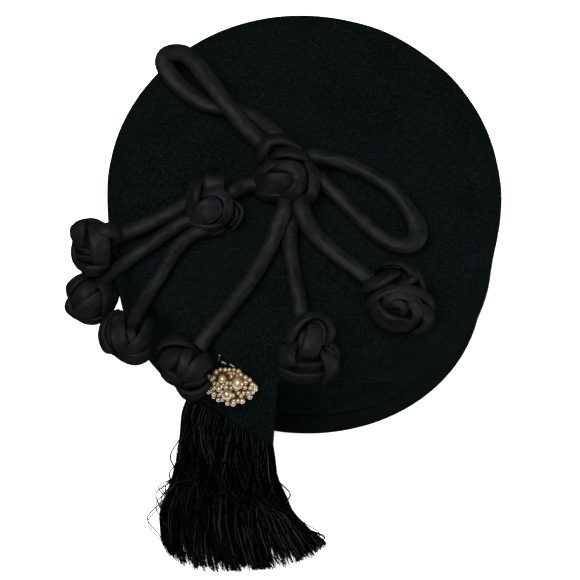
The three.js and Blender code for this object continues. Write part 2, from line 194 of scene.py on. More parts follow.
def tableAt(rows, x):
    # reads a table whose first column rises, as a smooth curve that never overshoots
    if x <= rows[0][0]:
        return rows[0][1:]
    if x >= rows[-1][0]:
        return rows[-1][1:]
    i = max(k for k in range(len(rows) - 1) if rows[k][0] <= x)

    def slope(k, c):
        if k == 0 or k == len(rows) - 1:
            return 0.0
        before = (rows[k][c] - rows[k - 1][c]) / (rows[k][0] - rows[k - 1][0])
        after = (rows[k + 1][c] - rows[k][c]) / (rows[k + 1][0] - rows[k][0])
        return 2 * before * after / (before + after) if before * after > 0 else 0.0

    width = rows[i + 1][0] - rows[i][0]
    t = (x - rows[i][0]) / width
    result = []
    for c in range(1, len(rows[0])):
        a, b = rows[i][c], rows[i + 1][c]
        bend = (t ** 3 - 2 * t ** 2 + t) * slope(i, c) + (t ** 3 - t ** 2) * slope(i + 1, c)
        result.append(mix(a, b, fade(t)) + width * bend)
    return result


def smoothPath(route, step):
    # a curve through given points, read about every step millimetres
    points = [Vector(p) for p in route]
    points = [2 * points[0] - points[1]] + points + [2 * points[-1] - points[-2]]
    path = []
    for a, b, c, d in zip(points, points[1:], points[2:], points[3:]):
        count = max(1, round((c - b).length / step))
        for k in range(count):
            t = k / count
            path.append(0.5 * (2 * b + (c - a) * t + (2 * a - 5 * b + 4 * c - d) * t ** 2
                               + (3 * b - a - 3 * c + d) * t ** 3))
    return path + [points[-2]]


def pathLength(path):
    return sum((b - a).length for a, b in zip(path, path[1:]))


# shader building
class Socket:
    # one socket in a material, so that shader maths reads as ordinary arithmetic
    def __init__(self, paint, link):
        self.paint = paint
        self.link = link

    def __add__(self, other):
        return self.paint.maths("ADD", self, other)

    def __radd__(self, other):
        return self.paint.maths("ADD", other, self)

    def __mul__(self, other):
        return self.paint.maths("MULTIPLY", self, other)

    def __rmul__(self, other):
        return self.paint.maths("MULTIPLY", other, self)


class Paint:
    # a material with its shader, and one way to add every other node
    def __init__(self, name, fixed):
        self.material = bpy.data.materials.new(name)
        self.material.use_nodes = True
        self.tree = self.material.node_tree
        self.shader = self.tree.nodes["Principled BSDF"]
        for socket, value in fixed.items():
            self.shader.inputs[socket].default_value = value

    def node(self, kind, settings, inputs):
        made = self.tree.nodes.new(kind)
        for key, value in settings.items():
            setattr(made, key, value)
        for key, value in inputs.items():
            if isinstance(value, Socket):
                self.tree.links.new(value.link, made.inputs[key])
            else:
                made.inputs[key].default_value = value
        return made

    def out(self, made, name=0):
        return Socket(self, made.outputs[name])

    def maths(self, operation, a, b):
        return self.out(self.node("ShaderNodeMath", {"operation": operation}, {0: a, 1: b}))

    def place(self, which="Object"):
        return self.out(self.node("ShaderNodeTexCoord", {}, {}), which)

    def stretched(self, vector, scale):
        return self.out(self.node("ShaderNodeVectorMath", {"operation": "MULTIPLY"}, {0: vector, 1: scale}))

    def speckle(self, vector, scale, detail=2.0, roughness=0.5):
        inputs = {"Vector": vector, "Scale": scale, "Detail": detail, "Roughness": roughness}
        return self.out(self.node("ShaderNodeTexNoise", {}, inputs), "Fac")

    def weave(self, vector, scale, distortion=0.0, detail=2.0):
        inputs = {"Vector": vector, "Scale": scale, "Distortion": distortion, "Detail": detail}
        return self.out(self.node("ShaderNodeTexWave", {"bands_direction": "DIAGONAL"}, inputs), "Fac")

    def ramp(self, value, low, high):
        inputs = {"Value": value, "From Min": low, "From Max": high}
        return self.out(self.node("ShaderNodeMapRange", {"interpolation_type": "SMOOTHSTEP"}, inputs))

    def blend(self, factor, a, b):
        made = self.node("ShaderNodeMix", {"data_type": "RGBA"}, {"Factor": factor, 6: a, 7: b})
        return self.out(made, 2)    # sockets 6, 7 and 2 are the colour ones

    def bump(self, height, distance, strength, under=None):
        inputs = {"Strength": strength, "Distance": distance * mm, "Height": height}
        if under:
            inputs["Normal"] = under
        return self.out(self.node("ShaderNodeBump", {}, inputs))

    def feed(self, sockets):
        for name, value in sockets.items():
            self.tree.links.new(value.link, self.shader.inputs[name])
        return self.material


def tint(r, g, b):
    return (r, g, b, 1.0)


feltLook = {
    "dark": tint(0.0005, 0.0008, 0.0008), "light": tint(0.0018, 0.0029, 0.0030),
    "napScale": 900, "napHeight": 0.35, "cloudScale": 45, "cloudHeight": 0.6, "lintFrom": (0.80, 0.83),
    "lint": tint(0.0055, 0.0064, 0.0064), "lintScale": 800, "lintStretch": (1.0, 1.7, 1.2),
}


def makeFelt():
    paint = Paint("felt", {"Roughness": 1.0, "Specular IOR Level": 0.0, "Sheen Weight": 0.001,
                           "Sheen Roughness": 0.5, "Sheen Tint": tint(0.75, 0.95, 1.0)})
    spot = paint.place()
    nap = paint.speckle(spot, feltLook["napScale"], 3.0, 0.7)
    cloud = paint.speckle(spot, feltLook["cloudScale"], 3.0)
    body = paint.blend(paint.ramp(0.8 * nap + 0.2 * cloud, 0.36, 0.64), feltLook["dark"], feltLook["light"])
    fluffs = paint.speckle(paint.stretched(spot, feltLook["lintStretch"]), feltLook["lintScale"], 0.0)
    colour = paint.blend(paint.ramp(fluffs, *feltLook["lintFrom"]), body, feltLook["lint"])
    swell = paint.bump(cloud, feltLook["cloudHeight"], 0.35)
    return paint.feed({"Base Color": colour, "Normal": paint.bump(nap, feltLook["napHeight"], 0.6, swell)})


# stretches are (along, across, 1) on the cords' and strands' marks
satinLook = {
    "dark": (0.0030, 0.0033, 0.0034), "light": (0.0068, 0.0072, 0.0074), "metallic": 0.58,
    "roughness": (0.44, 0.18), "weaveScale": 1400, "cloudScale": 120, "weaveHeight": 0.05,
    "puckerStretch": (60.0, 220.0, 1.0), "puckerHeight": 0.6,
    "crinkleStretch": (260.0, 420.0, 1.0), "crinkleHeight": 0.22,
}


def makeSatin(name, shade):
    # part mirror light with a black edge tint, so that the sheen doesn't rise where a fold turns away
    paint = Paint(name, {"Metallic": satinLook["metallic"], "Specular IOR Level": 0.0,
                         "Specular Tint": tint(0, 0, 0)})
    # shade scales both tones; below 1 it makes a darker copy of satin that paints shade
    dark, light = (tint(*(shade * c for c in satinLook[key])) for key in ("dark", "light"))
    along = paint.place("UV")
    weave = paint.weave(along, satinLook["weaveScale"], 1.0, 1.0)
    pucker = paint.speckle(paint.stretched(along, satinLook["puckerStretch"]), 1.0, 2.0)
    crinkle = paint.speckle(paint.stretched(along, satinLook["crinkleStretch"]), 1.0, 3.0, 0.6)
    cloud = paint.speckle(paint.place(), satinLook["cloudScale"], 3.0)
    tone = paint.ramp(0.3 * cloud + 0.3 * pucker + 0.4 * crinkle, 0.32, 0.66)
    soft = paint.bump(pucker, satinLook["puckerHeight"], 0.6)
    creased = paint.bump(crinkle, satinLook["crinkleHeight"], 0.6, soft)
    even, varied = satinLook["roughness"]
    return paint.feed({"Base Color": paint.blend(tone, dark, light), "Roughness": even + varied * cloud,
                       "Normal": paint.bump(weave, satinLook["weaveHeight"], 0.35, creased)})


# each thread has its own strip of marks, so the second number of toneStretch gives it a tone of its own
threadLook = {
    "dark": tint(0.0002, 0.0004, 0.0003), "toneStretch": (14.0, 210.0, 1.0),
    "twistStretch": (900.0, 1.0, 1.0), "twistHeight": 0.15,
}


def makeThread(name, light):
    paint = Paint(name, {"Roughness": 0.7, "Specular IOR Level": 0.0})
    along = paint.place("UV")
    twist = paint.weave(paint.stretched(along, threadLook["twistStretch"]), 1.0)
    tone = paint.speckle(paint.stretched(along, threadLook["toneStretch"]), 1.0, 0.0)
    colour = paint.blend(paint.ramp(tone, 0.45, 0.8), threadLook["dark"], light)
    return paint.feed({"Base Color": colour, "Normal": paint.bump(twist, threadLook["twistHeight"], 0.6)})


pearlLook = {"dark": tint(0.070, 0.043, 0.014), "light": tint(0.142, 0.100, 0.044),
             "toneScale": 260, "mottleScale": 900}
giltLook = {"dark": tint(0.025, 0.010, 0.003), "light": tint(0.085, 0.043, 0.016), "toneScale": 500}
silverLook = {"dark": tint(0.02, 0.022, 0.02), "light": tint(0.07, 0.075, 0.07), "toneScale": 900}


def makePearl():
    paint = Paint("pearl", {"Specular IOR Level": 0.5, "Coat Weight": 0.7, "Coat Roughness": 0.12,
                            "Coat IOR": 1.6})
    spot = paint.place()
    tone = paint.ramp(paint.speckle(spot, pearlLook["toneScale"]), 0.35, 0.65)
    mottle = paint.speckle(spot, pearlLook["mottleScale"])
    colour = paint.blend(tone, pearlLook["dark"], pearlLook["light"])
    return paint.feed({"Base Color": colour, "Roughness": 0.2 + 0.12 * mottle,
                       "Normal": paint.bump(mottle, 0.04, 0.4)})


def makeGilt():
    paint = Paint("gilt", {"Metallic": 1.0, "Specular IOR Level": 0.5})
    tone = paint.speckle(paint.place(), giltLook["toneScale"])
    colour = paint.blend(paint.ramp(tone, 0.35, 0.65), giltLook["dark"], giltLook["light"])
    return paint.feed({"Base Color": colour, "Roughness": 0.3 + 0.25 * tone,
                       "Normal": paint.bump(tone, 0.1, 0.5)})


def makeSilver():
    paint = Paint("silver", {"Metallic": 1.0})
    tone = paint.speckle(paint.place(), silverLook["toneScale"])
    colour = paint.blend(tone, silverLook["dark"], silverLook["light"])
    return paint.feed({"Base Color": colour, "Roughness": 0.3 + 0.2 * tone})


felt = makeFelt()
satin = makeSatin("satin", 1.0)
# painted shade: a darker copy of satin for the knots' cores, so the gaps between strands read dark
paintedShadeSatin = makeSatin("deep_satin", 0.25)    # inside the knots, where little light comes
thread = makeThread("thread", tint(0.0041, 0.0053, 0.0047))
# painted highlight: a paler copy of the thread colour standing in for glints on loose threads
paintedHighlightThread = makeThread("pale_thread", tint(0.019, 0.0205, 0.019))
# painted shade: a darker copy of the thread colour for the layer lying behind the others
paintedShadeThread = makeThread("dark_thread", tint(0.0012, 0.0017, 0.0015))
pearl = makePearl()
gilt = makeGilt()
silver = makeSilver()
print("materials made")


# a mesh collected point by point, in millimetres
class Shape:
    def __init__(self):
        self.points = []
        self.faces = []
        self.marks = []    # one (along, around) mark for each point, in metres

    def add(self, point, along=0.0, around=0.0):
        self.points.append(mm * Vector(point))
        self.marks.append((mm * along, mm * around))
        return len(self.points) - 1

    def quads(self, upper, lower, closed=False):
        count = len(upper)
        for i in range(count if closed else count - 1):
            j = (i + 1) % count
            corners = [upper[i], lower[i], lower[j], upper[j]]
            corners = [c for k, c in enumerate(corners) if c not in corners[:k]]
            if len(corners) > 2:
                self.faces.append(corners)

    def skin(self, rings):
        for a, b in zip(rings, rings[1:]):
            self.quads(a, b, closed=True)

    def make(self, name, material, stands, slot):
        mesh = bpy.data.meshes.new(name)
        mesh.from_pydata(self.points, [], self.faces)
        layer = mesh.uv_layers.new(name="UVMap")
        for loop in mesh.loops:
            layer.data[loop.index].uv = self.marks[loop.vertex_index]
        mesh.materials.append(material)
        mesh.shade_smooth()
        piece = addObject(name, mesh)
        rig.ride(piece, "root")
        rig.slot(piece, slot)
        for node in stands:
            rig.replaces(piece, node)
        return piece


def turns(count):
    return [2 * pi * k / count for k in range(count)]


def oval(halfLength, halfWidth, turn):
    return halfLength * cos(turn), halfWidth * sin(turn)


def addBall(shape, put, centre, radii, rings, sides):
    # an egg of any three radii, set in place by put
    x, y, z = centre
    rx, ry, rz = radii
    levels = [[shape.add(put((x, y, z + rz)))] * sides]
    for ring in range(1, rings):
        down = pi * ring / rings
        level = []
        for k, turn in enumerate(turns(sides)):
            east, north = oval(rx * sin(down), ry * sin(down), turn)
            level.append(shape.add(put((x + east, y + north, z + rz * cos(down))), 0.1 * k, ring))
        levels.append(level)
    levels.append([shape.add(put((x, y, z - rz)))] * sides)
    shape.skin(levels)


markRound = 22    # millimetres of mark once around any tube


def sweep(shape, path, section, sides, facing=None):
    # runs a closed section along a path; section(t, turn) gives how far across and out it stands
    count = len(path)
    side = None
    rings = []
    distance = 0.0
    for k, point in enumerate(path):
        ahead = (path[min(k + 1, count - 1)] - path[max(k - 1, 0)]).normalized()
        if facing:
            side = ahead.cross(facing(point)).normalized()
        elif side is None:
            side = ahead.cross(Vector((0, 0, 1))).normalized()
        else:
            side = (side - ahead * side.dot(ahead)).normalized()
        up = side.cross(ahead)
        if k:
            distance += (point - path[k - 1]).length
        ring = []
        for i, turn in enumerate(turns(sides)):
            across, out = section(k / (count - 1), turn)
            ring.append(shape.add(point + side * across + up * out, distance, markRound * i / sides))
        rings.append(ring)
    shape.skin(rings)
    shape.faces.append(rings[0])
    shape.faces.append(rings[-1][::-1])


# satin cords: the route of each one, from the knot outwards
cord = {
    "diameter": 7.2, "sides": 24, "step": 0.9, "pucker": 0.05, "seam": 0.3, "seamWidth": 0.12,
    "tuck": 4, "sink": 0.19,    # how far both ends run on inside the knots, and how fast they drop there
}
# wide is the width against the diameter, seamTurn the seam's place in degrees, and bend a loop's far end:
# its place along the cord, how much of the cord it takes and how much wider the cord is there
cordRoutes = {
    "loop_upper": {"length": 161, "wide": 1.26, "seamTurn": 70, "bend": (0.47, 0.06, 1.12), "route": [
        (-20.5, 20, 130), (-25.9, 24.3, 132), (-31.9, 31.2, 134.5), (-37.9, 38.7, 135.8),
        (-46.3, 50.8, 136.2), (-52.2, 59.3, 136), (-58, 65.4, 135.2), (-63.2, 67.6, 133),
        (-67.2, 67.4, 130.8), (-69, 64.6, 129), (-67.8, 60.6, 127.6), (-63.2, 54.4, 126.4),
        (-56.7, 48.4, 125.8), (-50, 43.5, 125.5), (-43, 41.2, 125.4), (-36.5, 40, 125.4),
        (-29.5, 38, 125.5), (-22, 33.5, 126.6), (-16, 27.6, 128.6), (-12.5, 23.5, 129.6),
    ]},
    "loop_right": {"length": 151, "wide": 1.08, "seamTurn": 100, "bend": (0.54, 0.07, 1.3), "route": [
        (-1, 11.6, 129.8), (6, 11.4, 129.4), (12.5, 10.6, 128.7), (20, 9, 127.9), (28, 6, 126.7),
        (36.5, 2, 125.3), (43.5, -2.6, 124.4), (49.5, -9, 123.7), (54.5, -16.2, 122.9), (57.8, -23, 122.4),
        (58.3, -28.8, 122.3), (55.6, -33, 122.3), (50.5, -34.8, 122.5), (44.4, -33, 122.8),
        (37.8, -28.3, 123.1), (31.3, -22, 123.5), (24.7, -15, 124), (18, -8.2, 125), (12.8, -3.2, 126.5),
        (9.8, -0.6, 127.4),
    ]},
    "tail_one": {"length": 54, "wide": 1.12, "seamTurn": 200, "route": [
        (-49.2, -11.4, 130.8), (-53, -13, 130.4), (-57, -15, 129), (-61, -17, 127.4), (-66.2, -19.4, 126),
        (-72, -22.4, 125.9), (-78, -25.3, 125.9), (-84, -27.8, 125.3), (-91, -30.4, 124.4),
    ]},
    "tail_two": {"length": 64, "wide": 1.0, "seamTurn": 30, "route": [
        (-54.5, -22.8, 128.6), (-60, -25.4, 127), (-66, -29.4, 125.9), (-71.6, -33.8, 125.7),
        (-77.4, -38.2, 125.5), (-84, -42, 123), (-91, -45.2, 117.4), (-95.5, -47, 113.2),
        (-98, -48.6, 110.6),
    ]},
    "tail_three": {"length": 66, "wide": 1.03, "seamTurn": 120, "route": [
        (-49.9, -28.9, 127.4), (-54, -30.9, 126.3), (-58.2, -34.2, 125.8), (-62.5, -39.6, 125.6),
        (-65.9, -46, 125.5), (-69.2, -52.6, 125.1), (-73.6, -58.6, 122.4), (-77.6, -63.6, 117.2),
        (-80.6, -67, 112), (-82.3, -69.3, 108.5),
    ]},
    "tail_four": {"length": 95, "wide": 1.16, "seamTurn": 300, "route": [
        (-7.4, -13, 130.2), (-8, -19, 130.8), (-11, -26, 129.2), (-13.4, -32.3, 126.6),
        (-16.4, -38.6, 125.1), (-20, -46, 124.9), (-23.9, -53.1, 124.9), (-31.7, -64.3, 124.8),
        (-39.3, -74.6, 124.6), (-45.5, -82.1, 123), (-49, -87.8, 121.6),
    ]},
    "tail_five": {"length": 67, "wide": 1.12, "seamTurn": 250, "route": [
        (-4, -11, 124.7), (-4, -17.5, 124.7), (-4.6, -24, 124.7), (-5.4, -30, 124.6), (-4.7, -40.4, 124.5),
        (-2.6, -53.6, 124.2), (-0.9, -62, 124.1), (0, -69.6, 124.1),
    ]},
    "tail_six": {"length": 63, "wide": 1.24, "seamTurn": 60, "route": [
        (0.2, -13, 130), (0.4, -18, 130.7), (2.8, -23.5, 128.9), (5.6, -27.6, 126), (9, -31.3, 124.4),
        (17.1, -39.2, 123.8), (26.1, -46.2, 123.4), (30.2, -49.5, 123.3), (34, -52.8, 123.4),
    ]},
}
# the link's ends are both inside the knots
linkFacts = {
    "wide": 1.1, "seamTurn": 45, "route": [(-21, -2.9, 128), (-27.5, -4.3, 127.4), (-33.2, -7.6, 128.3)],
}


def cordSection(seed, facts):
    radius = cord["diameter"] / 2
    seamAngle = radians(facts["seamTurn"])

    def section(t, turn):
        wrinkle = noise.noise(Vector((seed + 26 * t, 1.3 * cos(turn), 1.3 * sin(turn))))
        apart = abs((turn - seamAngle + pi) % (2 * pi) - pi)
        lips = 0.8 * exp(-((apart - 0.3) / 0.16) ** 2)    # the cloth rises on both sides of the seam
        seam = cord["seam"] * (lips - exp(-(apart / cord["seamWidth"]) ** 2))
        reach = radius * (1 + cord["pucker"] * wrinkle) + seam
        wide = facts["wide"] * (1 + 0.06 * noise.noise(Vector((seed, 5 * t, 0))))
        if "bend" in facts:
            place, share, widen = facts["bend"]
            wide *= 1 + (widen - 1) * exp(-((t - place) / share) ** 2)
        return reach * wide * cos(turn), reach * sin(turn) / wide ** 0.5

    return section


def makeCord(name, facts, seed):
    path = smoothPath(facts["route"], cord["step"])
    start, stop = path[0], path[-1]
    first, last = (start - path[1]).normalized(), (stop - path[-2]).normalized()
    steps = range(1, round(cord["tuck"] / cord["step"]) + 1)
    sink = Vector((0, 0, cord["sink"]))
    path = [start + first * cord["step"] * k - sink * k * k for k in reversed(steps)] + path
    path += [stop + last * cord["step"] * k - sink * k * k for k in steps]
    shape = Shape()
    sweep(shape, path, cordSection(seed, facts), cord["sides"], facing=lambda p: Vector((0, 0, 1)))
    facts["piece"] = shape.make(name + "_satin", satin, [name], "satin")
    facts["path"] = [mm * p for p in path]
    print(name, "is", round(pathLength(path), 1), "mm long")


for number, (name, facts) in enumerate(cordRoutes.items()):
    makeCord(name, facts, 7.3 * number)
makeCord("link_cord", linkFacts, 91.0)


# the knots: flattened satin strands laid over a rounded core
# a strand is (rolled edge: -1 left, 0 none, 1 right, points), and a point is x, y, z and half width,
# from the knot's centre: x to the right, y away from the front and z out of the top, leaning with the knot
knotLean = 22.4
strandLook = {
    "flat": 0.46, "thin": 0.9, "square": 0.65, "sides": 24, "step": 0.9,    # flat is height against width
    "folds": 0.1, "roll": 0.45, "rollWidth": 0.1, "back": 0.85, "backDrop": 2,
    "coreRings": 12, "coreSides": 20, "middle": -4,    # strands face away from a point under the centre
}
knots = {
    "main_knot": {"centre": (-6, 2, 130), "core": [
        (-6, 12, -2, 7.5, 5, 5), (-6, -5, -1, 8, 7, 6.5), (7, -5, -2, 8, 8, 5.5),
    ], "strands": [
        (0, [(-13.8, 5.2, -2, 4), (-12.8, 10.5, 3, 5), (-9.5, 15.2, 4.8, 4.6), (-3.5, 16.3, 4.6, 4.4),
             (2.5, 14, 2, 3.8), (7, 10.5, -2, 3)]),
        (0, [(-10, 6.5, 0, 1.6), (-6, 8.6, 4.6, 2.6), (-0.5, 9.6, 6.2, 3.2), (5, 8.6, 6, 3.2),
             (10, 7.6, 2.5, 3)]),
        (0, [(-16, -4, -2, 3), (-13, 0.5, 2, 3.4), (-9, 3.5, 3.4, 3), (-5, 5, 4, 2.4)]),
        (0, [(-16, -10.5, -2, 3), (-12, -12, 2, 3.2), (-6.4, -12.6, 4, 3.2), (-1, -12.4, 4, 2.8)]),
        (0, [(-16, -8, -2, 5), (-12.5, -6.6, 3.6, 5.6), (-7, -5.8, 6.4, 6), (-1, -5.6, 6.6, 5.8),
             (4, -6, 3, 5)]),
        (1, [(-9, 2.2, 2, 1.8), (-5, 3.2, 6, 2.5), (0.5, 3, 8, 3), (5, 0.4, 9, 3.7), (6.2, -4.4, 8.6, 4),
             (4.6, -8.8, 9.6, 3.8), (0.8, -12, 9.4, 3.2), (-3.4, -13.8, 6.5, 1.8)]),
        (1, [(8, 6, -1, 2.6), (10.6, 3.6, 4, 3.6), (12.8, -1, 6, 4), (12.9, -6.5, 7, 4),
             (12, -11.5, 7.2, 3.8), (10.8, -15.5, 3, 2.8)]),
    ]},
    "left_knot": {"centre": (-43.7, -15, 130), "core": [(-1, -2, -2, 11, 11.5, 6.5)], "strands": [
        (0, [(1, 5, 3, 5), (1.1, 9.5, 4.6, 5.4), (1.3, 12, 2.6, 5.4), (1.5, 13.6, -2.5, 4.8)]),
        (0, [(-4, 12, -3, 3), (-7.6, 9.6, 2.4, 4), (-9.2, 4.8, 4.8, 4.4), (-9.6, -0.5, 4.8, 4.2),
             (-11.5, -5, 2.5, 3.4), (-13, -8.5, -1.5, 2.6)]),
        (0, [(-13.5, -7, -2, 2.6), (-10.5, -10.6, 2.4, 3), (-5, -12.4, 4.2, 3.2), (1, -12.4, 4.4, 3),
             (6, -10.4, 2.4, 2.4)]),
        (1, [(-5.5, 3.4, 3, 1.8), (-2.5, 5.2, 6, 2.4), (2.5, 5.6, 7.4, 2.5), (7, 3, 7.4, 2.7),
             (8.3, -2, 6.8, 2.8), (6.8, -7.2, 5.4, 2.8), (2.6, -11.2, 2.5, 2.4), (-2, -13, -1, 2)]),
        (0, [(-12, -9, 0.5, 3.6), (-8, -6.8, 5.4, 5), (-2.8, -4, 8, 6), (2, -1.6, 7, 5.4),
             (5.4, 0.8, 2, 4)]),
        (0, [(-6, -9, 6.4, 0.5), (-1, -9.3, 7.6, 0.8), (3.2, -6.4, 8.4, 0.8), (4.6, -2.4, 8.6, 0.8),
             (2.4, 1.2, 8.4, 0.7), (-2, 2, 7.8, 0.5)]),
        (0, [(-8, -13.5, -3, 3), (-3, -15, -1, 3.4), (2.5, -14.8, -0.5, 3.4), (6.5, -12.6, -2, 2.8)]),
        (0, [(9, 1, -1, 0.9), (12.5, 0, 1.6, 1), (15, -3.6, 2, 1), (13.8, -8.6, 1.6, 1),
             (10, -13.2, -0.5, 0.8)]),
        (0, [(9.5, -1.5, 0, 0.9), (12.3, -3.4, 2, 0.9), (12, -7.4, 2, 0.9), (9, -11, 0.5, 0.8)]),
    ]},
    "rosette_one": {"centre": (-101, -34, 124), "core": [
        (-2, -2, -1, 9, 12, 8.5), (7, 5.5, 0, 5, 4.5, 4.5), (5, -8, -2, 5, 5, 5),
    ], "strands": [
        (0, [(-9.5, 9, -3, 1.6), (-6, 11, 0, 1.9), (-2, 11.6, 1, 1.9), (2, 10.8, -0.5, 1.7)]),
        (0, [(-6, 11, -1, 4), (-8.2, 8, 3.4, 5), (-8.3, 3, 4, 5), (-8, -1.4, 2.4, 4)]),
        (0, [(-11, 1, -1, 1.8), (-11.2, -3.4, 1, 2.2), (-10.4, -8, 1, 2.2), (-8, -12.5, -2, 2)]),
        (0, [(-10.5, -1, 1, 1.4), (-7.4, -3.2, 4.4, 1.8), (-3.4, -4.4, 6.4, 1.8), (1, -3.8, 6.4, 1.4)]),
        (0, [(-10.5, -5, 1, 1.3), (-7, -6.8, 4.4, 1.7), (-2.4, -7.6, 6, 1.7), (2, -7.4, 6, 1.4)]),
        (0, [(-0.5, 11, -1, 3.6), (1, 6, 6, 4.8), (2.4, 0, 8, 5.2), (3, -6, 7, 4.8), (3.2, -12, 2, 3.8)]),
        (1, [(-9.5, -9, -1, 2.8), (-6, -12.2, 3.6, 3.6), (-1, -13.6, 5, 3.8), (3.6, -12.7, 3.6, 3.4),
             (6.5, -10, -0.5, 2.6)]),
        (1, [(1, 9.2, 3.4, 2.6), (4.5, 7.4, 6.4, 4.2), (8.4, 6.4, 5.8, 4.4), (12, 6.8, 0.5, 3.6)]),
    ]},
    "rosette_two": {"centre": (-104.8, -55, 104), "core": [
        (-1, -1, -1, 9.5, 9.5, 9), (7, 1, -2, 5.5, 8, 6),
    ], "strands": [
        (0, [(4, 12, -2, 2.4), (-1.5, 11.4, 2, 2.8), (-6.5, 8.6, 4, 3.2), (-10, 4.6, 3.6, 3.2),
             (-10.6, 1, 0.5, 2.4)]),
        (0, [(-9.5, 1, 0, 2), (-10.6, -2.6, 2.4, 3), (-9.6, -6.6, 2.2, 3), (-6.5, -10, -1, 2.4)]),
        (0, [(-8, -8.5, -2, 2.2), (-3, -11, 1.8, 2.8), (3, -11.2, 2.4, 2.8), (8.5, -9, 0, 2.4)]),
        (0, [(7, 12, -5, 3), (11.4, 8, -4.5, 3.2), (12.4, 3, -4.5, 3), (11.2, -2.5, -4.5, 2.4),
             (9, -8, -4, 2.4)]),
        (0, [(9, 7.5, -3, 2.4), (12.4, 2.8, -1, 3.1), (12, -2.5, -0.5, 2.5), (9.4, -8, -3, 2.4)]),
        (0, [(5, -8, -3, 3), (8.4, -11, -1.5, 3), (9.5, -14, -3.5, 2.4)]),
        (1, [(2, 8.6, 1, 2.4), (6.8, 6.8, 4.8, 3.4), (9.4, 2, 5, 3.4), (9.2, -4, 4.6, 3.2),
             (8, -9.5, 1, 2.4)]),
        (1, [(4, 9, 2, 2), (1, 5.8, 6.4, 3.5), (-2.7, 2.4, 8, 3.8), (-5.8, -1.2, 6.4, 3.3),
             (-8, -4.5, 2.6, 1.8)]),
        (0, [(8.5, -4, 2, 2), (4.4, -6, 6, 2.4), (-0.4, -8.4, 6.4, 2.4), (-5, -10.2, 3, 1.8)]),
        (-1, [(9, 1.5, 2, 2.4), (5.4, 0.1, 6.8, 3.7), (1, -2.8, 8.4, 3.9), (-3.4, -5.8, 7, 3.4),
              (-7, -8.6, 2.6, 2.2)]),
    ]},
    "rosette_three": {"centre": (-86, -77, 101), "core": [(-1, 0, -1, 10.5, 8.5, 9)], "strands": [
        (0, [(-4.4, 15.4, -4.5, 3), (-9, 12.4, -1.5, 3), (-11.4, 8.4, 2, 2.8), (-12.2, 2.6, 3, 2.8),
             (-10.4, -2.6, 3, 3), (-7, -5.4, 2.4, 3)]),
        (0, [(-8.6, 11, 0, 1.6), (-9.2, 6, 3.8, 1.6), (-8.8, 0.5, 4.4, 1.6), (-6.5, -4.4, 3, 1.4)]),
        (0, [(2, 6.5, 6.4, 2.4), (3, 3, 8.2, 2.2), (3, -0.5, 8, 1.6)]),
        (0, [(-7, -5, -1, 2.4), (-1.5, -7.4, 3, 3.4), (4.5, -8.6, 4, 3.8), (9.5, -7, 2.4, 3.6),
             (12, -3, -1, 3)]),
        (0, [(-4.2, 14.8, -2, 3.4), (-3.9, 10.5, 3.4, 3.6), (-3.8, 6, 6.8, 4), (-3.4, 1.4, 8, 4.2),
             (-1, -3, 7, 3.6), (3.4, -5.6, 3, 2.6)]),
        (1, [(10.5, 15.5, -3, 2.4), (11.4, 9.5, 2.4, 3), (9.8, 3.6, 5.6, 3.4), (6, -1.6, 7, 3.4),
             (0.8, -5, 6, 2.8), (-4.4, -5.8, 3, 1.8)]),
    ]},
    "rosette_four": {"centre": (-55.2, -97, 118), "core": [
        (-4, 2, -1, 10.5, 11.5, 8), (2, -7, -1, 8, 6.5, 6), (4, 7, 0, 5, 5, 4.5),
    ], "strands": [
        (1, [(-13.4, 8, -1, 2.4), (-11.6, 11.6, 2.6, 3.2), (-6.5, 13.2, 4, 3.4), (-1, 12.2, 4, 3),
             (4, 9.6, 1, 2.4)]),
        (0, [(-2.5, 9, 2, 3.2), (-6.4, 6.4, 5.6, 4.8), (-9.6, 3, 5.6, 5), (-11.4, -1, 2, 4)]),
        (0, [(-12.5, -0.5, -1, 2.2), (-9.4, -3.4, 4.6, 3.4), (-5.8, -5.8, 5, 3.3), (-3.4, -9.4, 2, 2.4)]),
        (0, [(1.6, 9.6, 2, 2.6), (-0.2, 5.4, 6.8, 3.2), (-1.6, 0.6, 7.8, 3), (-3, -4, 6.2, 2.2),
             (-4.4, -7.6, 2.6, 1.4)]),
        (1, [(12.4, 3.6, 0, 3.4), (9, 2.4, 5.4, 4.4), (5.4, -0.8, 7.6, 4.6), (1.8, -4.8, 7, 3.6),
             (-1.6, -8, 3, 2)]),
        (0, [(9.5, -4.6, 1.5, 1.6), (7, -6.4, 4.8, 2), (3, -8.2, 6, 2), (-1.6, -9.4, 4, 1.5)]),
        (1, [(-4.6, -8.6, 0, 2.2), (-2.6, -12, 3.2, 3), (2.4, -13.7, 4.4, 3.4), (7.6, -11.6, 3, 3),
             (11.4, -7.6, -1, 2.4)]),
    ]},
    "rosette_five": {"centre": (3.5, -90, 127), "core": [
        (-1, -4.5, -1, 13, 12, 8), (1, 7, 0, 9, 7, 5.5),
    ], "strands": [
        (-1, [(-15, -9, -1, 2.2), (-12, -12.2, 3, 3.4), (-6, -14.4, 4.8, 3.8), (0.4, -14.8, 4.8, 3.8),
              (5.6, -14.2, 3, 3.4), (8.6, -13, -0.5, 2.4)]),
        (0, [(-8, -8.6, 2, 2.4), (-4.4, -9.8, 5.6, 3.3), (0.4, -10.2, 6.6, 3.5), (5, -9.6, 5.8, 3.3),
             (8.4, -7.8, 3, 2.4)]),
        (1, [(-5, 2, 0, 2.6), (-8.4, 0, 5.4, 4.2), (-10.6, -3.8, 6.6, 5.2), (-9.2, -7.8, 6, 4.6),
             (-6, -9.6, 4, 3.2)]),
        (0, [(0.4, 11.5, 1, 1.4), (-2.4, 7, 4.6, 1.6), (-3.6, 3, 5.4, 1.6), (-4.6, -1.5, 4.4, 1.4)]),
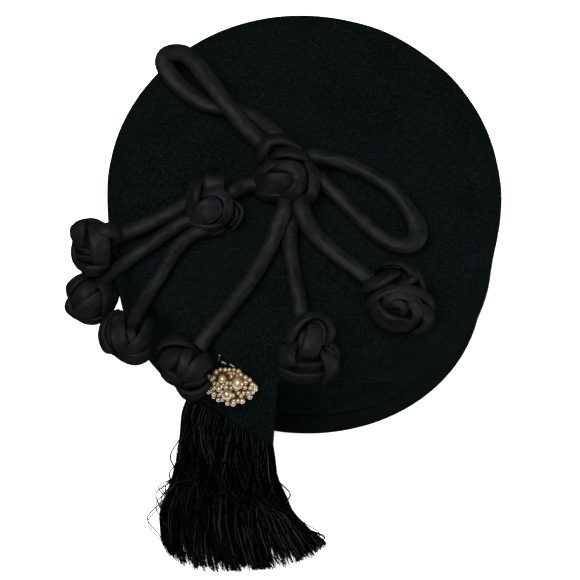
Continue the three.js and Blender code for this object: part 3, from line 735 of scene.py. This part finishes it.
        (0, [(1, 12.2, 3, 0.9), (4.4, 12.8, 5, 1.2), (7.4, 10.4, 6, 1.4), (8.2, 6, 6.4, 1.4),
             (6.8, 1, 6.4, 1.2)]),
        (0, [(4, 12, 0, 4), (3.8, 9, 5, 4.5), (2.4, 3.6, 8, 4.6), (0.8, -1.6, 8.2, 4.9),
             (-0.6, -5, 5.4, 4.4)]),
        (0, [(8, 3, 1, 1.6), (11.6, 1.2, 3.6, 1.8), (14, -2, 3, 1.7), (14.6, -6, 0, 1.5)]),
        (0, [(7.6, 0.4, 3, 1.2), (10.4, -1, 5.2, 1.3), (13, -3.4, 4.6, 1.2)]),
        (1, [(5.4, -1.6, 1, 2.6), (9.6, -4.2, 5.6, 3.8), (11.6, -8.8, 6, 4.3), (10.8, -13.2, 4.2, 3.8),
             (8.6, -17, -0.5, 2.6)]),
        (1, [(-8.6, -1.5, 1, 3), (-8.8, 4, 5, 3.6), (-6.6, 9.4, 6.8, 3.4), (-2.2, 13.8, 7.4, 2.8),
             (3.4, 15.8, 7.4, 2.2), (8.6, 14, 7, 2.2), (11.4, 9, 6.4, 2.3), (10.8, 3.6, 4.8, 2.3),
             (8.4, -1, 1.5, 2)]),
    ]},
    "rosette_six": {"centre": (48, -67, 129), "core": [
        (2, -4, -1, 12.5, 11.5, 8), (-5, 10, -1, 8, 6.5, 5), (4, 11, -1, 7, 6, 5),
    ], "strands": [
        (0, [(3, 19, -1, 1.8), (8, 15.6, 2.6, 2.6), (10.6, 11, 3, 2.6), (12.6, 5.5, 1, 2.4)]),
        (0, [(-18, 6.6, -1, 3.6), (-13.4, 8.6, 3.4, 4.2), (-8, 10.6, 4.8, 3.8), (-3.4, 13.4, 4, 3.6),
             (0.6, 14, 2, 3)]),
        (1, [(-11, 15.6, 0, 1), (-6.5, 18.4, 4, 1.8), (-0.5, 18.8, 5.4, 2.2), (4.6, 16.2, 6, 2.8),
             (6.6, 12.4, 6.2, 2.8), (4, 9.6, 5.6, 2), (-0.5, 8.9, 4, 1.1)]),
        (0, [(-15.5, -4, -1, 2), (-13, 1, 3.4, 2.6), (-6.6, 5.2, 5.6, 2.7), (1, 6.6, 6.4, 2.6),
             (8, 5.2, 6.2, 2.6), (13.6, 1.6, 5, 2.6), (17, -3.5, 1, 2)]),
        (1, [(-12, 1.5, 2, 2.8), (-11.4, -4, 5, 4.4), (-7.8, -8.2, 6.4, 4.8), (-2.4, -10.4, 7, 4.6),
             (3, -11.2, 6.2, 3.8), (7.6, -12, 3, 2.6)]),
        (-1, [(-7, -4.5, 4, 1.5), (-6.4, -0.4, 6.4, 1.9), (-3, 2.4, 7.6, 2.2), (2, 2.8, 8.2, 2.2),
              (6.6, 0.8, 8, 2.2), (9.8, -2.6, 6.6, 2)]),
        (0, [(-5, -3.4, 5.6, 1.2), (-3, -1.4, 8.2, 1.8), (0.4, -1.4, 9.2, 2), (2.4, -4, 9, 2.2),
             (0.6, -6.4, 8, 1.6)]),
        (0, [(3.4, -0.4, 7.4, 2.2), (7.4, -2.6, 9, 3), (8.6, -6.4, 8.6, 3.2), (6.4, -9.6, 6.8, 2.6),
             (2.8, -11, 4.6, 1.8)]),
        (-1, [(8.6, -3.6, 4, 2.6), (12.8, -5.6, 6, 3.4), (14, -9.6, 5.8, 3.6), (11.4, -13.4, 4, 3.4),
              (7, -15, 0.5, 2.4)]),
    ]},
}


def squared(x):
    return copysign(abs(x) ** strandLook["square"], x)


def strandSection(halves, edge, seed):
    def section(t, turn):
        half = halves[round(t * (len(halves) - 1))] * (0.6 + 0.4 * fade(min(t, 1 - t) / 0.08))
        side, top = cos(turn), sin(turn)
        broad = noise.noise(Vector((seed + 2.5 * t, 2.6 * side + 0.8 * t, seed)))
        fine = noise.noise(Vector((seed + 9 * t, 1.5 * side, 1.5 * top)))
        fold = strandLook["folds"] * (broad + 0.5 * fine)
        across = half * (1 + 0.5 * fold) * squared(side)
        out = max(strandLook["flat"] * half, strandLook["thin"]) * (1 + 1.8 * fold) * squared(top)
        if edge:    # a rolled edge along one side
            near = exp(-((1 - edge * side) / strandLook["rollWidth"]) ** 2)
            across += strandLook["roll"] * edge * near
            out += strandLook["roll"] * near
        return across, out

    return section


def makeKnot(name, facts):
    lean = Matrix.Rotation(radians(knotLean), 3, "X")
    centre = Vector(facts["centre"])

    def put(point):
        return centre + lean @ Vector(point)

    shape = Shape()
    for x, y, z, rx, ry, rz in facts["core"]:
        addBall(shape, put, (x, y, z), (rx, ry, rz), strandLook["coreRings"], strandLook["coreSides"])
    coreFaces = len(shape.faces)

    middle = put((0, 0, strandLook["middle"]))
    for number, (edge, points) in enumerate(facts["strands"]):
        path = smoothPath(points, strandLook["step"])
        section = strandSection([p.w for p in path], edge, 3.1 * number + len(name))
        front = [p.to_3d() for p in path]
        shrink, drop = strandLook["back"], strandLook["backDrop"]    # the hidden side repeats the front
        back = [Vector((shrink * p.x, shrink * p.y, -p.z - drop)) for p in front]
        for local in (front, back):
            sweep(shape, [put(p) for p in local], section, strandLook["sides"],
                  facing=lambda p: (p - middle).normalized())
    piece = shape.make(name + "_strands", satin, [name], "satin")
    # the core faces take the painted shade satin, darker so the gaps between strands read as shade
    piece.data.materials.append(paintedShadeSatin)
    for face in piece.data.polygons[:coreFaces]:
        face.material_index = 1
    facts["piece"] = piece


for name, facts in knots.items():
    makeKnot(name, facts)
print("cords and knots made")

for name, facts in cordRoutes.items():
    button = name.replace("tail", "rosette")    # a tail ends in its own button, a loop back in its knot
    ends = [knots[button]["piece"]] if button in knots else []
    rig.cord(facts["piece"], exit=facts["path"][0], length=mm * facts["length"],
            diameter=mm * cord["diameter"], far_end="knot" if ends else "object", stiffness="medium",
            lay="loose", path=facts["path"], with_pieces=ends)


# the felt crown: the same rules as the part, with many more rows
crown = {
    "wall": 2.4, "topRadius": 100, "shoulder": 12, "shoulderHeight": 107, "topRise": 1.5,
    "shift": (2.3, 1.75), "tilt": 1.6, "ovalTurn": -12.5, "leanFrom": 28,
    "slit": (-45, 30), "tab": (-30, -7.5), "tabCorner": (-50, -105, 93), "tabTip": (-14, -128, 89),
    "slitColumns": 60, "backColumns": 170, "topRings": 64, "sideRows": 18, "underRows": 24, "tabRows": 18,
    "recessFoot": 44, "underFoot": 47,    # under the slit, the wall's set-back and its even rows end here
    "lowerRows": (45, 43, 41, 39, 37, 35, 33, 31, 29.5, 28, 27, 26, 25, 20, 13, 6, 0),
    "swells": [(34, 0.5), (13, 0.16)], "swellFrom": 20, "swellOver": 25,    # felt is never quite true
    "topFrom": 112, "crease": {"width": 1.3, "foldAt": 3.2, "foldWidth": 2.2, "foldHeight": 0.6},
    "creases": [(16, 20, 27, 27, 0.5), (27, 27.5, 38, 32, 0.9), (38, 32, 52, 37, 0.7),
                (14, -16, 22, -30, 0.6), (-30, 14, -46, 22, 0.5), (-24, 2, -40, 6, 0.4),
                (4, 24, 6, 38, 0.4)],
}
# height, half length and half width of the wall's outside
wallRows = [
    (0, 97.4, 87.4), (24, 97.4, 87.4), (27, 98.4, 88.4), (32, 100.6, 90.8), (38, 101.8, 92.2),
    (42, 101.9, 92.4), (47, 101.4, 92.6), (62, 101, 94), (82, 100.4, 97.4), (107, 100, 100),
]
# angle from the front, height of the slit's upper edge, how far it stands out,
# how far the wall under it is set back, and how far that wall tucks up behind
slitRows = [
    (-180, 62, 0, 0, 0), (-90, 72, 0, 0, 0), (-60, 88, 0, 0, 0), (-45, 100, 0, 0, 0),
    (-37.5, 105, 2.5, 3, -0.8), (-30, 109, 4, 5, 3), (-7.5, 110, 4.5, 6, 4), (7.5, 107, 4.2, 6, 4),
    (15, 100, 4, 6, 3), (22.5, 85, 3.2, 5, 2), (26.25, 71, 1.7, 2.8, -0.8), (30, 56, 0, 0, 0),
    (60, 56, 0, 0, 0), (180, 62, 0, 0, 0),
]


def crownSize(height):
    if height <= crown["shoulderHeight"]:
        return tableAt(wallRows, height)
    rise = min(height - crown["shoulderHeight"], crown["shoulder"])
    radius = crown["topRadius"] - crown["shoulder"] + sqrt(crown["shoulder"] ** 2 - rise ** 2)
    return radius, radius


def crownPoint(angle, length, width, height, offset=0.0):
    direction = radians(angle - 90)
    turned = direction - radians(crown["ovalTurn"])
    radius = 1 / hypot(cos(turned) / length, sin(turned) / width) + offset
    x, y = radius * cos(direction), radius * sin(direction)
    lift = max(0.0, height - crown["leanFrom"]) / (crown["shoulderHeight"] - crown["leanFrom"])
    fall = tan(radians(crown["tilt"])) * x
    return Vector((x + crown["shift"][0] * lift, y + crown["shift"][1] * lift, height - fall * lift))


def sideHeight(share, slitHeight):
    # height at one share of the way down from the flat top to the slit
    reach, level = crown["shoulder"], crown["shoulderHeight"]
    arc = reach * (pi / 2 - asin(max(0.0, slitHeight - level) / reach))
    along = share * (arc + max(0.0, level - slitHeight))
    return level + reach * cos(along / reach) if along <= arc else level - (along - arc)


def creaseDepth(point, startX, startY, endX, endY, depth):
    # a soft pulled line in the top, with a low fold along it
    look = crown["crease"]
    spot, start, end = Vector((point.x, point.y)), Vector((startX, startY)), Vector((endX, endY))
    along = (spot - start).dot(end - start) / (end - start).length_squared
    apart = (spot - start.lerp(end, min(1.0, max(0.0, along)))).length
    ends = fade((along + 0.15) / 0.3) * fade((1.25 - along) / 0.5)
    fold = look["foldHeight"] * exp(-((apart - look["foldAt"]) / look["foldWidth"]) ** 2)
    return depth * ends * (fold - exp(-(apart / look["width"]) ** 2))


def softened(point):
    onTop = point.z > crown["topFrom"]
    out = Vector((0, 0, 1)) if onTop else Vector((point.x, point.y, 0)).normalized()
    swell = sum(noise.noise(point / width) * height for width, height in crown["swells"])
    if onTop:
        swell += sum(creaseDepth(point, *crease) for crease in crown["creases"])
    return point + out * swell * fade((point.z - crown["swellFrom"]) / crown["swellOver"])


def crownColumns():
    # the slit's columns are close together, the rest stand wider apart
    start, end = crown["slit"]
    count = crown["backColumns"]
    angles = [mix(start, end, i / crown["slitColumns"]) for i in range(crown["slitColumns"] + 1)]
    angles += [end + (360 - end + start) * i / count for i in range(1, count)]
    angles = [angle - 360 if angle > 180 else angle for angle in angles]
    return [(angle, *tableAt(slitRows, angle)) for angle in angles]


def makeCrown():
    shape = Shape()
    columns = crownColumns()
    level, reach = crown["shoulderHeight"], crown["shoulder"]
    flat = crown["topRadius"] - reach
    pole = shape.add(crownPoint(0, 0.001, 0.001, level + reach + crown["topRise"]))

    def addRow(spots):
        return [shape.add(softened(spot)) for spot in spots]

    rows = [[pole] * len(columns)]
    for k in range(1, crown["topRings"] + 1):
        radius = flat * k / crown["topRings"]
        height = level + reach + crown["topRise"] * (1 - (radius / flat) ** 2)
        rows.append(addRow(crownPoint(column[0], radius, radius, height) for column in columns))
    for k in range(1, crown["sideRows"] + 1):
        share = k / crown["sideRows"]
        spots = []
        for angle, height, flare, recess, tuck in columns:
            at = sideHeight(share, height)
            spots.append(crownPoint(angle, *crownSize(at), at, flare * share ** 2))
        rows.append(addRow(spots))
    shape.skin(rows)
    lip = rows[-1]

    # in the slit a new row starts behind the lip, elsewhere the wall runs on
    start, end = crown["slit"]
    behind = []
    for i, (angle, height, flare, recess, tuck) in enumerate(columns):
        if start < angle < end:
            at = height + tuck
            behind.append(shape.add(softened(crownPoint(angle, *crownSize(at), at, -recess))))
        else:
            behind.append(lip[i])
    rows = [behind]
    levels = [(k / crown["underRows"], crown["underFoot"]) for k in range(1, crown["underRows"] + 1)]
    for share, foot in levels + [(1.0, z) for z in crown["lowerRows"]]:
        spots = []
        for angle, height, flare, recess, tuck in columns:
            at = mix(height + tuck, foot, share)
            setBack = recess * fade((at - crown["recessFoot"]) / (height - crown["recessFoot"]))
            spots.append(crownPoint(angle, *crownSize(at), at, -setBack))
        rows.append(addRow(spots))
    shape.skin(rows)

    first, last = (min(range(crown["slitColumns"] + 1), key=lambda i: abs(columns[i][0] - angle))
                   for angle in crown["tab"])
    row = lip[first:last + 1]
    roots = [shape.points[i] / mm for i in row]
    for k in range(1, crown["tabRows"] + 1):
        below = []
        for i, root in enumerate(roots):
            tip = Vector(crown["tabCorner"]).lerp(Vector(crown["tabTip"]), i / (len(roots) - 1))
            below.append(shape.add(root.lerp(tip, k / crown["tabRows"])))
        shape.quads(row, below)
        row = below
    piece = shape.make("crown_felt", felt, ["crown"], "felt")
    thick = piece.modifiers.new("thickness", "SOLIDIFY")
    thick.thickness = crown["wall"] * mm
    thick.offset = -1
    thick.use_even_offset = False


band = {
    "halfLength": 100, "halfWidth": 90, "height": 25, "wall": 2.3, "round": 1.1,
    "taper": (0.9, 12, 13),    # how far it draws in, above what height and over how much of it
    "sides": 220, "rows": 16, "roundRows": 5,
}


def makeBand():
    shape = Shape()
    straight = band["height"] - band["round"]
    drawIn, taperFrom, taperOver = band["taper"]
    outline = []    # inset, height
    for k in range(band["rows"] + 1):
        height = straight * k / band["rows"]
        outline.append((drawIn * fade((height - taperFrom) / taperOver), height))
    for k in range(1, band["roundRows"] + 1):
        turn = pi / 2 * k / band["roundRows"]
        inset = drawIn + band["round"] * (1 - cos(turn))
        outline.append((inset, straight + band["round"] * sin(turn)))
    outline += [(band["wall"], band["height"]), (band["wall"], 0.0)]
    turned = Matrix.Rotation(radians(crown["ovalTurn"]), 3, "Z")
    rings = []
    for turn in turns(band["sides"]):
        ring = []
        for inset, height in outline:
            x, y = oval(band["halfLength"] - inset, band["halfWidth"] - inset, turn)
            ring.append(shape.add(turned @ Vector((x, y, height))))
        rings.append(ring)
    shape.skin(rings + rings[:1])
    shape.make("base_band_felt", felt, ["base_band"], "felt")


makeCrown()
makeBand()
print("felt made")


# fringe: loose twisted threads that hang from the tab and lie out over the floor
# wave and curl are side wanders in millimetres, drift is a share of the width, pull draws ends into clumps,
# from and to are the depths that the threads start at, from -1 behind to 1 in front
fringe = {
    "seed": 11, "clumps": 54, "clumpLengths": (0.88, 1.06), "lowest": 0.95, "overrun": 3.5,
    "bow": 12.5, "bowFrom": 5, "bowOver": 3.2, "fill": 0.46, "sizes": (0.7, 1.15),
    "edge": {"share": 0.05, "every": 4, "drift": 0.1, "standOff": (2, 7), "thicker": 1.9},
    "under": {"threads": 470, "radius": 0.82, "sides": 4, "samples": 24, "wave": 1.2, "drift": 0.02,
              "curl": 0.5, "pull": 0.1, "from": -1, "to": 0.5, "length": 0.95, "loose": False},
    "over": {"threads": 600, "radius": 0.21, "sides": 4, "samples": 39, "wave": 3.0, "drift": 0.12,
             "curl": 2.8, "pull": 0.7, "from": -0.2, "to": 1, "length": 1.0, "loose": True},
    "stray": {"threads": 130, "radius": 0.15, "sides": 5, "samples": 44, "wave": 1.6, "drift": 0.28,
              "curl": 1.2, "pull": 0.2, "from": 0.8, "to": 1, "length": 1.03, "loose": True},
}
# left edge x y z, right edge x y z, thickness, and degrees that the thickness turns upright
fringeRows = [
    (0, -54.4, -101, 91.3, -15, -124.8, 87.8, 4, 0), (1, -58.5, -101.5, 70, -14, -125.5, 68, 7, 0),
    (2, -60.9, -106.5, 45, -13.1, -128, 43, 10, 0), (3, -63.5, -111, 22, -9.2, -131.5, 20, 12, 12),
    (4, -66.2, -117, 9.6, -5.3, -135.5, 8.6, 12, 50), (5, -69.3, -125, 5.4, 0.4, -140.5, 5.2, 10, 84),
    (6, -73, -138, 4, 5.7, -145.5, 4, 8, 90), (7, -72, -150, 3, 11, -149, 3, 6, 90),
    (8, -69.5, -157, 2.5, 14, -151.5, 2.5, 4, 90),
]


def fringePoint(row, share, depth):
    lx, ly, lz, rx, ry, rz, thick, turn = tableAt(fringeRows, row)
    left, right = Vector((lx, ly, lz)), Vector((rx, ry, rz))
    across = (right - left).normalized()
    out = Vector((across.y, -across.x, 0)).normalized() * cos(radians(turn))
    out.z = sin(radians(turn))
    swell = 0.35 + 0.65 * sqrt(max(0.0, 1 - (2 * share - 1) ** 2))
    point = left.lerp(right, share) + out * depth * fringe["fill"] * thick * swell
    bow = fringe["bow"] * max(0.0, 1 - (2 * share - 1) ** 4)
    point.y -= bow * fade((row - fringe["bowFrom"]) / fringe["bowOver"])
    return point


def makeThreads(name, kind, material):
    chance = random.Random(fringe["seed"])
    shape = Shape()
    edge = fringe["edge"]
    lastRow = fringeRows[-1][0]
    clumps = [(chance.random(), chance.uniform(*fringe["clumpLengths"])) for _ in range(fringe["clumps"])]
    for number in range(kind["threads"]):
        share = (number + chance.random()) / kind["threads"]
        clump, clumpLength = min(clumps, key=lambda c: abs(c[0] - share))
        depth = chance.uniform(kind["from"], kind["to"])
        pull = kind["pull"] * chance.uniform(0.3, 1)
        reach = lastRow * kind["length"] * clumpLength * (1 - 0.06 * chance.random() ** 3)
        # a few threads at the two edges keep their place and stand off in a loop
        atEdge = kind["loose"] and number % edge["every"] == 0 and min(share, 1 - share) < edge["share"]
        drift = chance.gauss(0, kind["drift"]) * (edge["drift"] if atEdge else 1.0)
        curl = kind["curl"] * chance.random() ** 2
        standOff = chance.uniform(*edge["standOff"]) if atEdge else 0.0
        standAt = chance.uniform(0.3, 0.9)
        seed = 17.0 * number
        path = []
        for k in range(kind["samples"] + 1):
            t = k / kind["samples"]
            row = reach * t
            at = share + (clump - share) * pull * fade((t - 0.6) / 0.4) + drift * fade(1.4 * t)
            at = abs(at) if at < 0.5 else 1 - abs(1 - at)    # past an edge a thread turns back in
            inside = fade(min(at, 1 - at) / 0.06)
            layer = depth + 0.9 * noise.noise(Vector((seed, 0, 5 * t))) * t
            point = fringePoint(min(row, lastRow), at, max(-1, min(1, layer)))
            point.y -= fringe["overrun"] * max(0.0, row - lastRow)
            wave = noise.noise(Vector((seed, 4 * t, 0))) + 0.5 * noise.noise(Vector((seed, 13 * t, 9)))
            lift = 0.5 * kind["wave"] * noise.noise(Vector((seed, 7 * t, 4)))
            point.x += kind["wave"] * wave * fade(4 * t) * (0.35 + 0.65 * inside)
            point.x += curl * sin(9 * t + seed) * fade(2 * t) * inside
            point.x += copysign(standOff, share - 0.5) * exp(-((t - standAt) / 0.07) ** 2)
            point.y += 0.5 * curl * cos(11 * t + seed) * fade(2 * t - 1)
            point.z = max(point.z + lift * fade(4 * t), fringe["lowest"])
            path.append(point)
        size = kind["radius"] * chance.uniform(*fringe["sizes"]) * (edge["thicker"] if atEdge else 1.0)

        def section(t, turn, size=size):
            radius = size * (1 - 0.5 * fade((t - 0.85) / 0.15))
            return oval(radius, radius, turn)

        first = len(shape.points)
        sweep(shape, path, section, kind["sides"])
        for i in range(first, len(shape.points)):    # every thread has its own strip of marks
            shape.marks[i] = (shape.marks[i][0], 0.003 * number + 0.02 * shape.marks[i][1])
    shape.make(name, material, ["fringe"], "silk")


# the under layer, behind the rest, takes the painted shade copy of the thread colour
makeThreads("fringe_under", fringe["under"], paintedShadeThread)
makeThreads("fringe_threads", fringe["over"], thread)
# the front strays take the painted highlight copy of the thread colour
makeThreads("fringe_strays", fringe["stray"], paintedHighlightThread)
print("fringe made")


# brooch, laid out flat and then set on the tab's slope
brooch = {
    "seat": (-33, -100.4, 105.95), "normal": (-0.278, -0.667, 0.691), "halfLength": 13, "halfWidth": 9.6,
    "bottom": 3.8, "rise": 3.4, "pinch": 1.2, "seed": 5, "small": 1.3,
    "large": [(-3, 4.5, 2.1), (4.8, 3.2, 3.1), (-0.7, -3.3, 2.8)], "largeHeight": 3.7,    # x, y, radius
    "rings": [(0.96, 32), (0.8, 27), (0.63, 21), (0.45, 15), (0.28, 10), (0.1, 4)],    # share, count
    "tip": (12.8, 1.2, 1.2), "gaps": {"large": 0.86, "own": 0.3, "small": 0.74}, "sunk": 0.3,
    "rims": [(2.2, 2.0), (1.4, 2.0), (1.2, 3.2), (1.6, 4.0)], "scallops": (11, 0.25), "settingSides": 44,
    "domeShares": (0.8, 0.6, 0.4, 0.2), "domeDrop": 1.2, "bumps": (0.9, 0.35),
    "pin": {"halfLength": 9.75, "radius": 0.7, "height": 1.0},
    "bits": [(-6.3, 13.4, 2.2, 80), (-3.7, 11.3, 3.0, 160), (0.6, 10.4, 3.2, 150)], "bitSize": (0.75, 0.6),
}


def broochPlace():
    up = Vector(brooch["normal"]).normalized()
    along = (Vector((1, 0, 0)) - up * up.x).normalized()
    turn = Matrix((along, up.cross(along), up)).transposed()
    return lambda p: Vector(brooch["seat"]) + turn @ Vector(p)


def domeHeight(x, y):
    far = min(1.0, (x / brooch["halfLength"]) ** 2 + (y / brooch["halfWidth"]) ** 2)
    return brooch["bottom"] + brooch["rise"] * (0.3 + 0.7 * sqrt(1 - far))


def pinched(x):
    # pulls an oval in between its four tips
    return copysign(abs(x) ** brooch["pinch"], x)


def makePearls(put):
    chance = random.Random(brooch["seed"])
    gaps = brooch["gaps"]
    pearls = Shape()
    spots = []
    for ring, count in brooch["rings"]:
        for k in range(count):
            turn = 2 * pi * (k + 0.5 * (count % 2)) / count + chance.uniform(-0.06, 0.06)
            far = ring * chance.uniform(0.96, 1.04)
            x = brooch["halfLength"] * far * pinched(cos(turn))
            y = brooch["halfWidth"] * far * pinched(sin(turn))
            size = brooch["small"] * chance.uniform(0.8, 1.15)
            clearOfLarge = all(hypot(x - a, y - b) > gaps["large"] * c + gaps["own"] * size
                               for a, b, c in brooch["large"])
            clearOfSmall = all(hypot(x - a, y - b) > gaps["small"] * (size + c) for a, b, c in spots)
            if clearOfLarge and clearOfSmall:
                spots.append((x, y, size))
    for x, y, size in spots + [brooch["tip"]]:
        addBall(pearls, put, (x, y, domeHeight(x, y) - brooch["sunk"] * size), [size] * 3, 9, 14)
    pearls.make("small_pearls", pearl, ["pearl_cluster"], "pearl")
    for number, (x, y, size) in zip(("one", "two", "three"), brooch["large"]):
        ball = Shape()
        addBall(ball, put, (x, y, brooch["bottom"] + brooch["largeHeight"]), [size] * 3, 16, 24)
        ball.make("large_pearl_" + number + "_ball", pearl, ["large_pearl_" + number], "pearl")


def makeSetting(put):
    # a scalloped rim, then a dome just under the pearls
    setting = Shape()
    halfLength, halfWidth, drop = brooch["halfLength"], brooch["halfWidth"], brooch["domeDrop"]
    scallops, deep = brooch["scallops"]
    often, high = brooch["bumps"]
    sides = brooch["settingSides"]
    rings = []
    for inset, height in brooch["rims"]:
        ring = []
        for turn in turns(sides):
            reach = 1 - (inset - deep * cos(scallops * turn)) / halfLength
            ring.append(setting.add(put((*oval(halfLength * reach, halfWidth * reach, turn), height))))
        rings.append(ring)
    for share in brooch["domeShares"]:
        ring = []
        for turn in turns(sides):
            x, y = oval(halfLength * share, halfWidth * share, turn)
            bump = high * noise.noise(Vector((often * x, often * y, 3)))
            ring.append(setting.add(put((x, y, domeHeight(x, y) - drop + bump))))
        rings.append(ring)
    rings.append([setting.add(put((0, 0, domeHeight(0, 0) - drop)))] * sides)
    setting.skin(rings)
    setting.faces.append(rings[0])
    setting.make("gilt_setting", gilt, ["brooch_plate"], "gilt")


def makePin(put):
    pin = Shape()
    half, radius = brooch["pin"]["halfLength"], brooch["pin"]["radius"]
    bar = [put((x, 0, brooch["pin"]["height"])) for x in (-half, -3, 3, half)]
    sweep(pin, bar, lambda t, turn: oval(radius, radius, turn), 12)
    pin.make("pin_bar", gilt, ["brooch_pin"], "gilt")


def makeBits(put):
    # three short bars beside the pearls
    bits = Shape()
    for x, y, z, degrees in brooch["bits"]:
        step = Vector((cos(radians(degrees)), sin(radians(degrees)), 0))
        path = [put(Vector((x, y, z)) + step * s) for s in (-1.6, -0.8, 0.8, 1.6)]
        sweep(bits, path, lambda t, turn: oval(*brooch["bitSize"], turn), 10)
    bits.make("silver_bits", silver, [], "gilt")


def makeBrooch():
    put = broochPlace()
    makePearls(put)
    makeSetting(put)
    makePin(put)
    makeBits(put)


makeBrooch()
print("brooch made")


# floor, light and surroundings, with sizes and places in metres
studio = {
    "world": 0.34, "floor": (tint(0.92, 0.92, 0.92), tint(0.94, 0.94, 0.94)), "glow": 0.3,
    "floorReach": 3.0, "floorDrop": 0.0004, "aim": (0, 0, 0.06),
    "lights": {"over": {"place": (-0.28, -0.25, 1.6), "size": 1.25, "power": 80.0},
               "side": {"place": (1.3, -0.3, 0.25), "size": 0.5, "power": 19.0}},
}


def makeFloor():
    mesh = bpy.data.meshes.new("floor")
    far = studio["floorReach"]
    corners = [(-far, -far), (far, -far), (far, far), (-far, far)]
    mesh.from_pydata([(x, y, -studio["floorDrop"]) for x, y in corners], [], [(0, 1, 2, 3)])
    paint = Paint("floor", {"Roughness": 0.9, "Specular IOR Level": 0.1, "Emission Color": tint(1, 1, 1),
                            "Emission Strength": studio["glow"]})
    tone = paint.speckle(paint.place(), 3, 1.0)
    mesh.materials.append(paint.feed({"Base Color": paint.blend(tone, *studio["floor"])}))
    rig.stage(addObject("floor", mesh))


def addLight(name, facts):
    data = bpy.data.lights.new(name, "AREA")
    data.energy = facts["power"]
    data.size = facts["size"]
    light = addObject(name, data)
    light.location = facts["place"]
    light.rotation_euler = (Vector(studio["aim"]) - light.location).to_track_quat("-Z", "Y").to_euler()


def addWorld():
    world = bpy.data.worlds.new("studio")
    bpy.context.scene.world = world
    world.use_nodes = True
    background = world.node_tree.nodes["Background"]
    background.inputs["Color"].default_value = (1, 1, 1, 1)
    background.inputs["Strength"].default_value = studio["world"]


makeFloor()
addWorld()
for name, facts in studio["lights"].items():
    addLight(name, facts)
bpy.context.scene.view_settings.view_transform = "Standard"
print("floor and lights made")

with open("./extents.json", "w") as sizes:
    json.dump({"cad": [list(p) for p in cadBox], "looks": [list(p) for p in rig.bounds()]}, sizes)
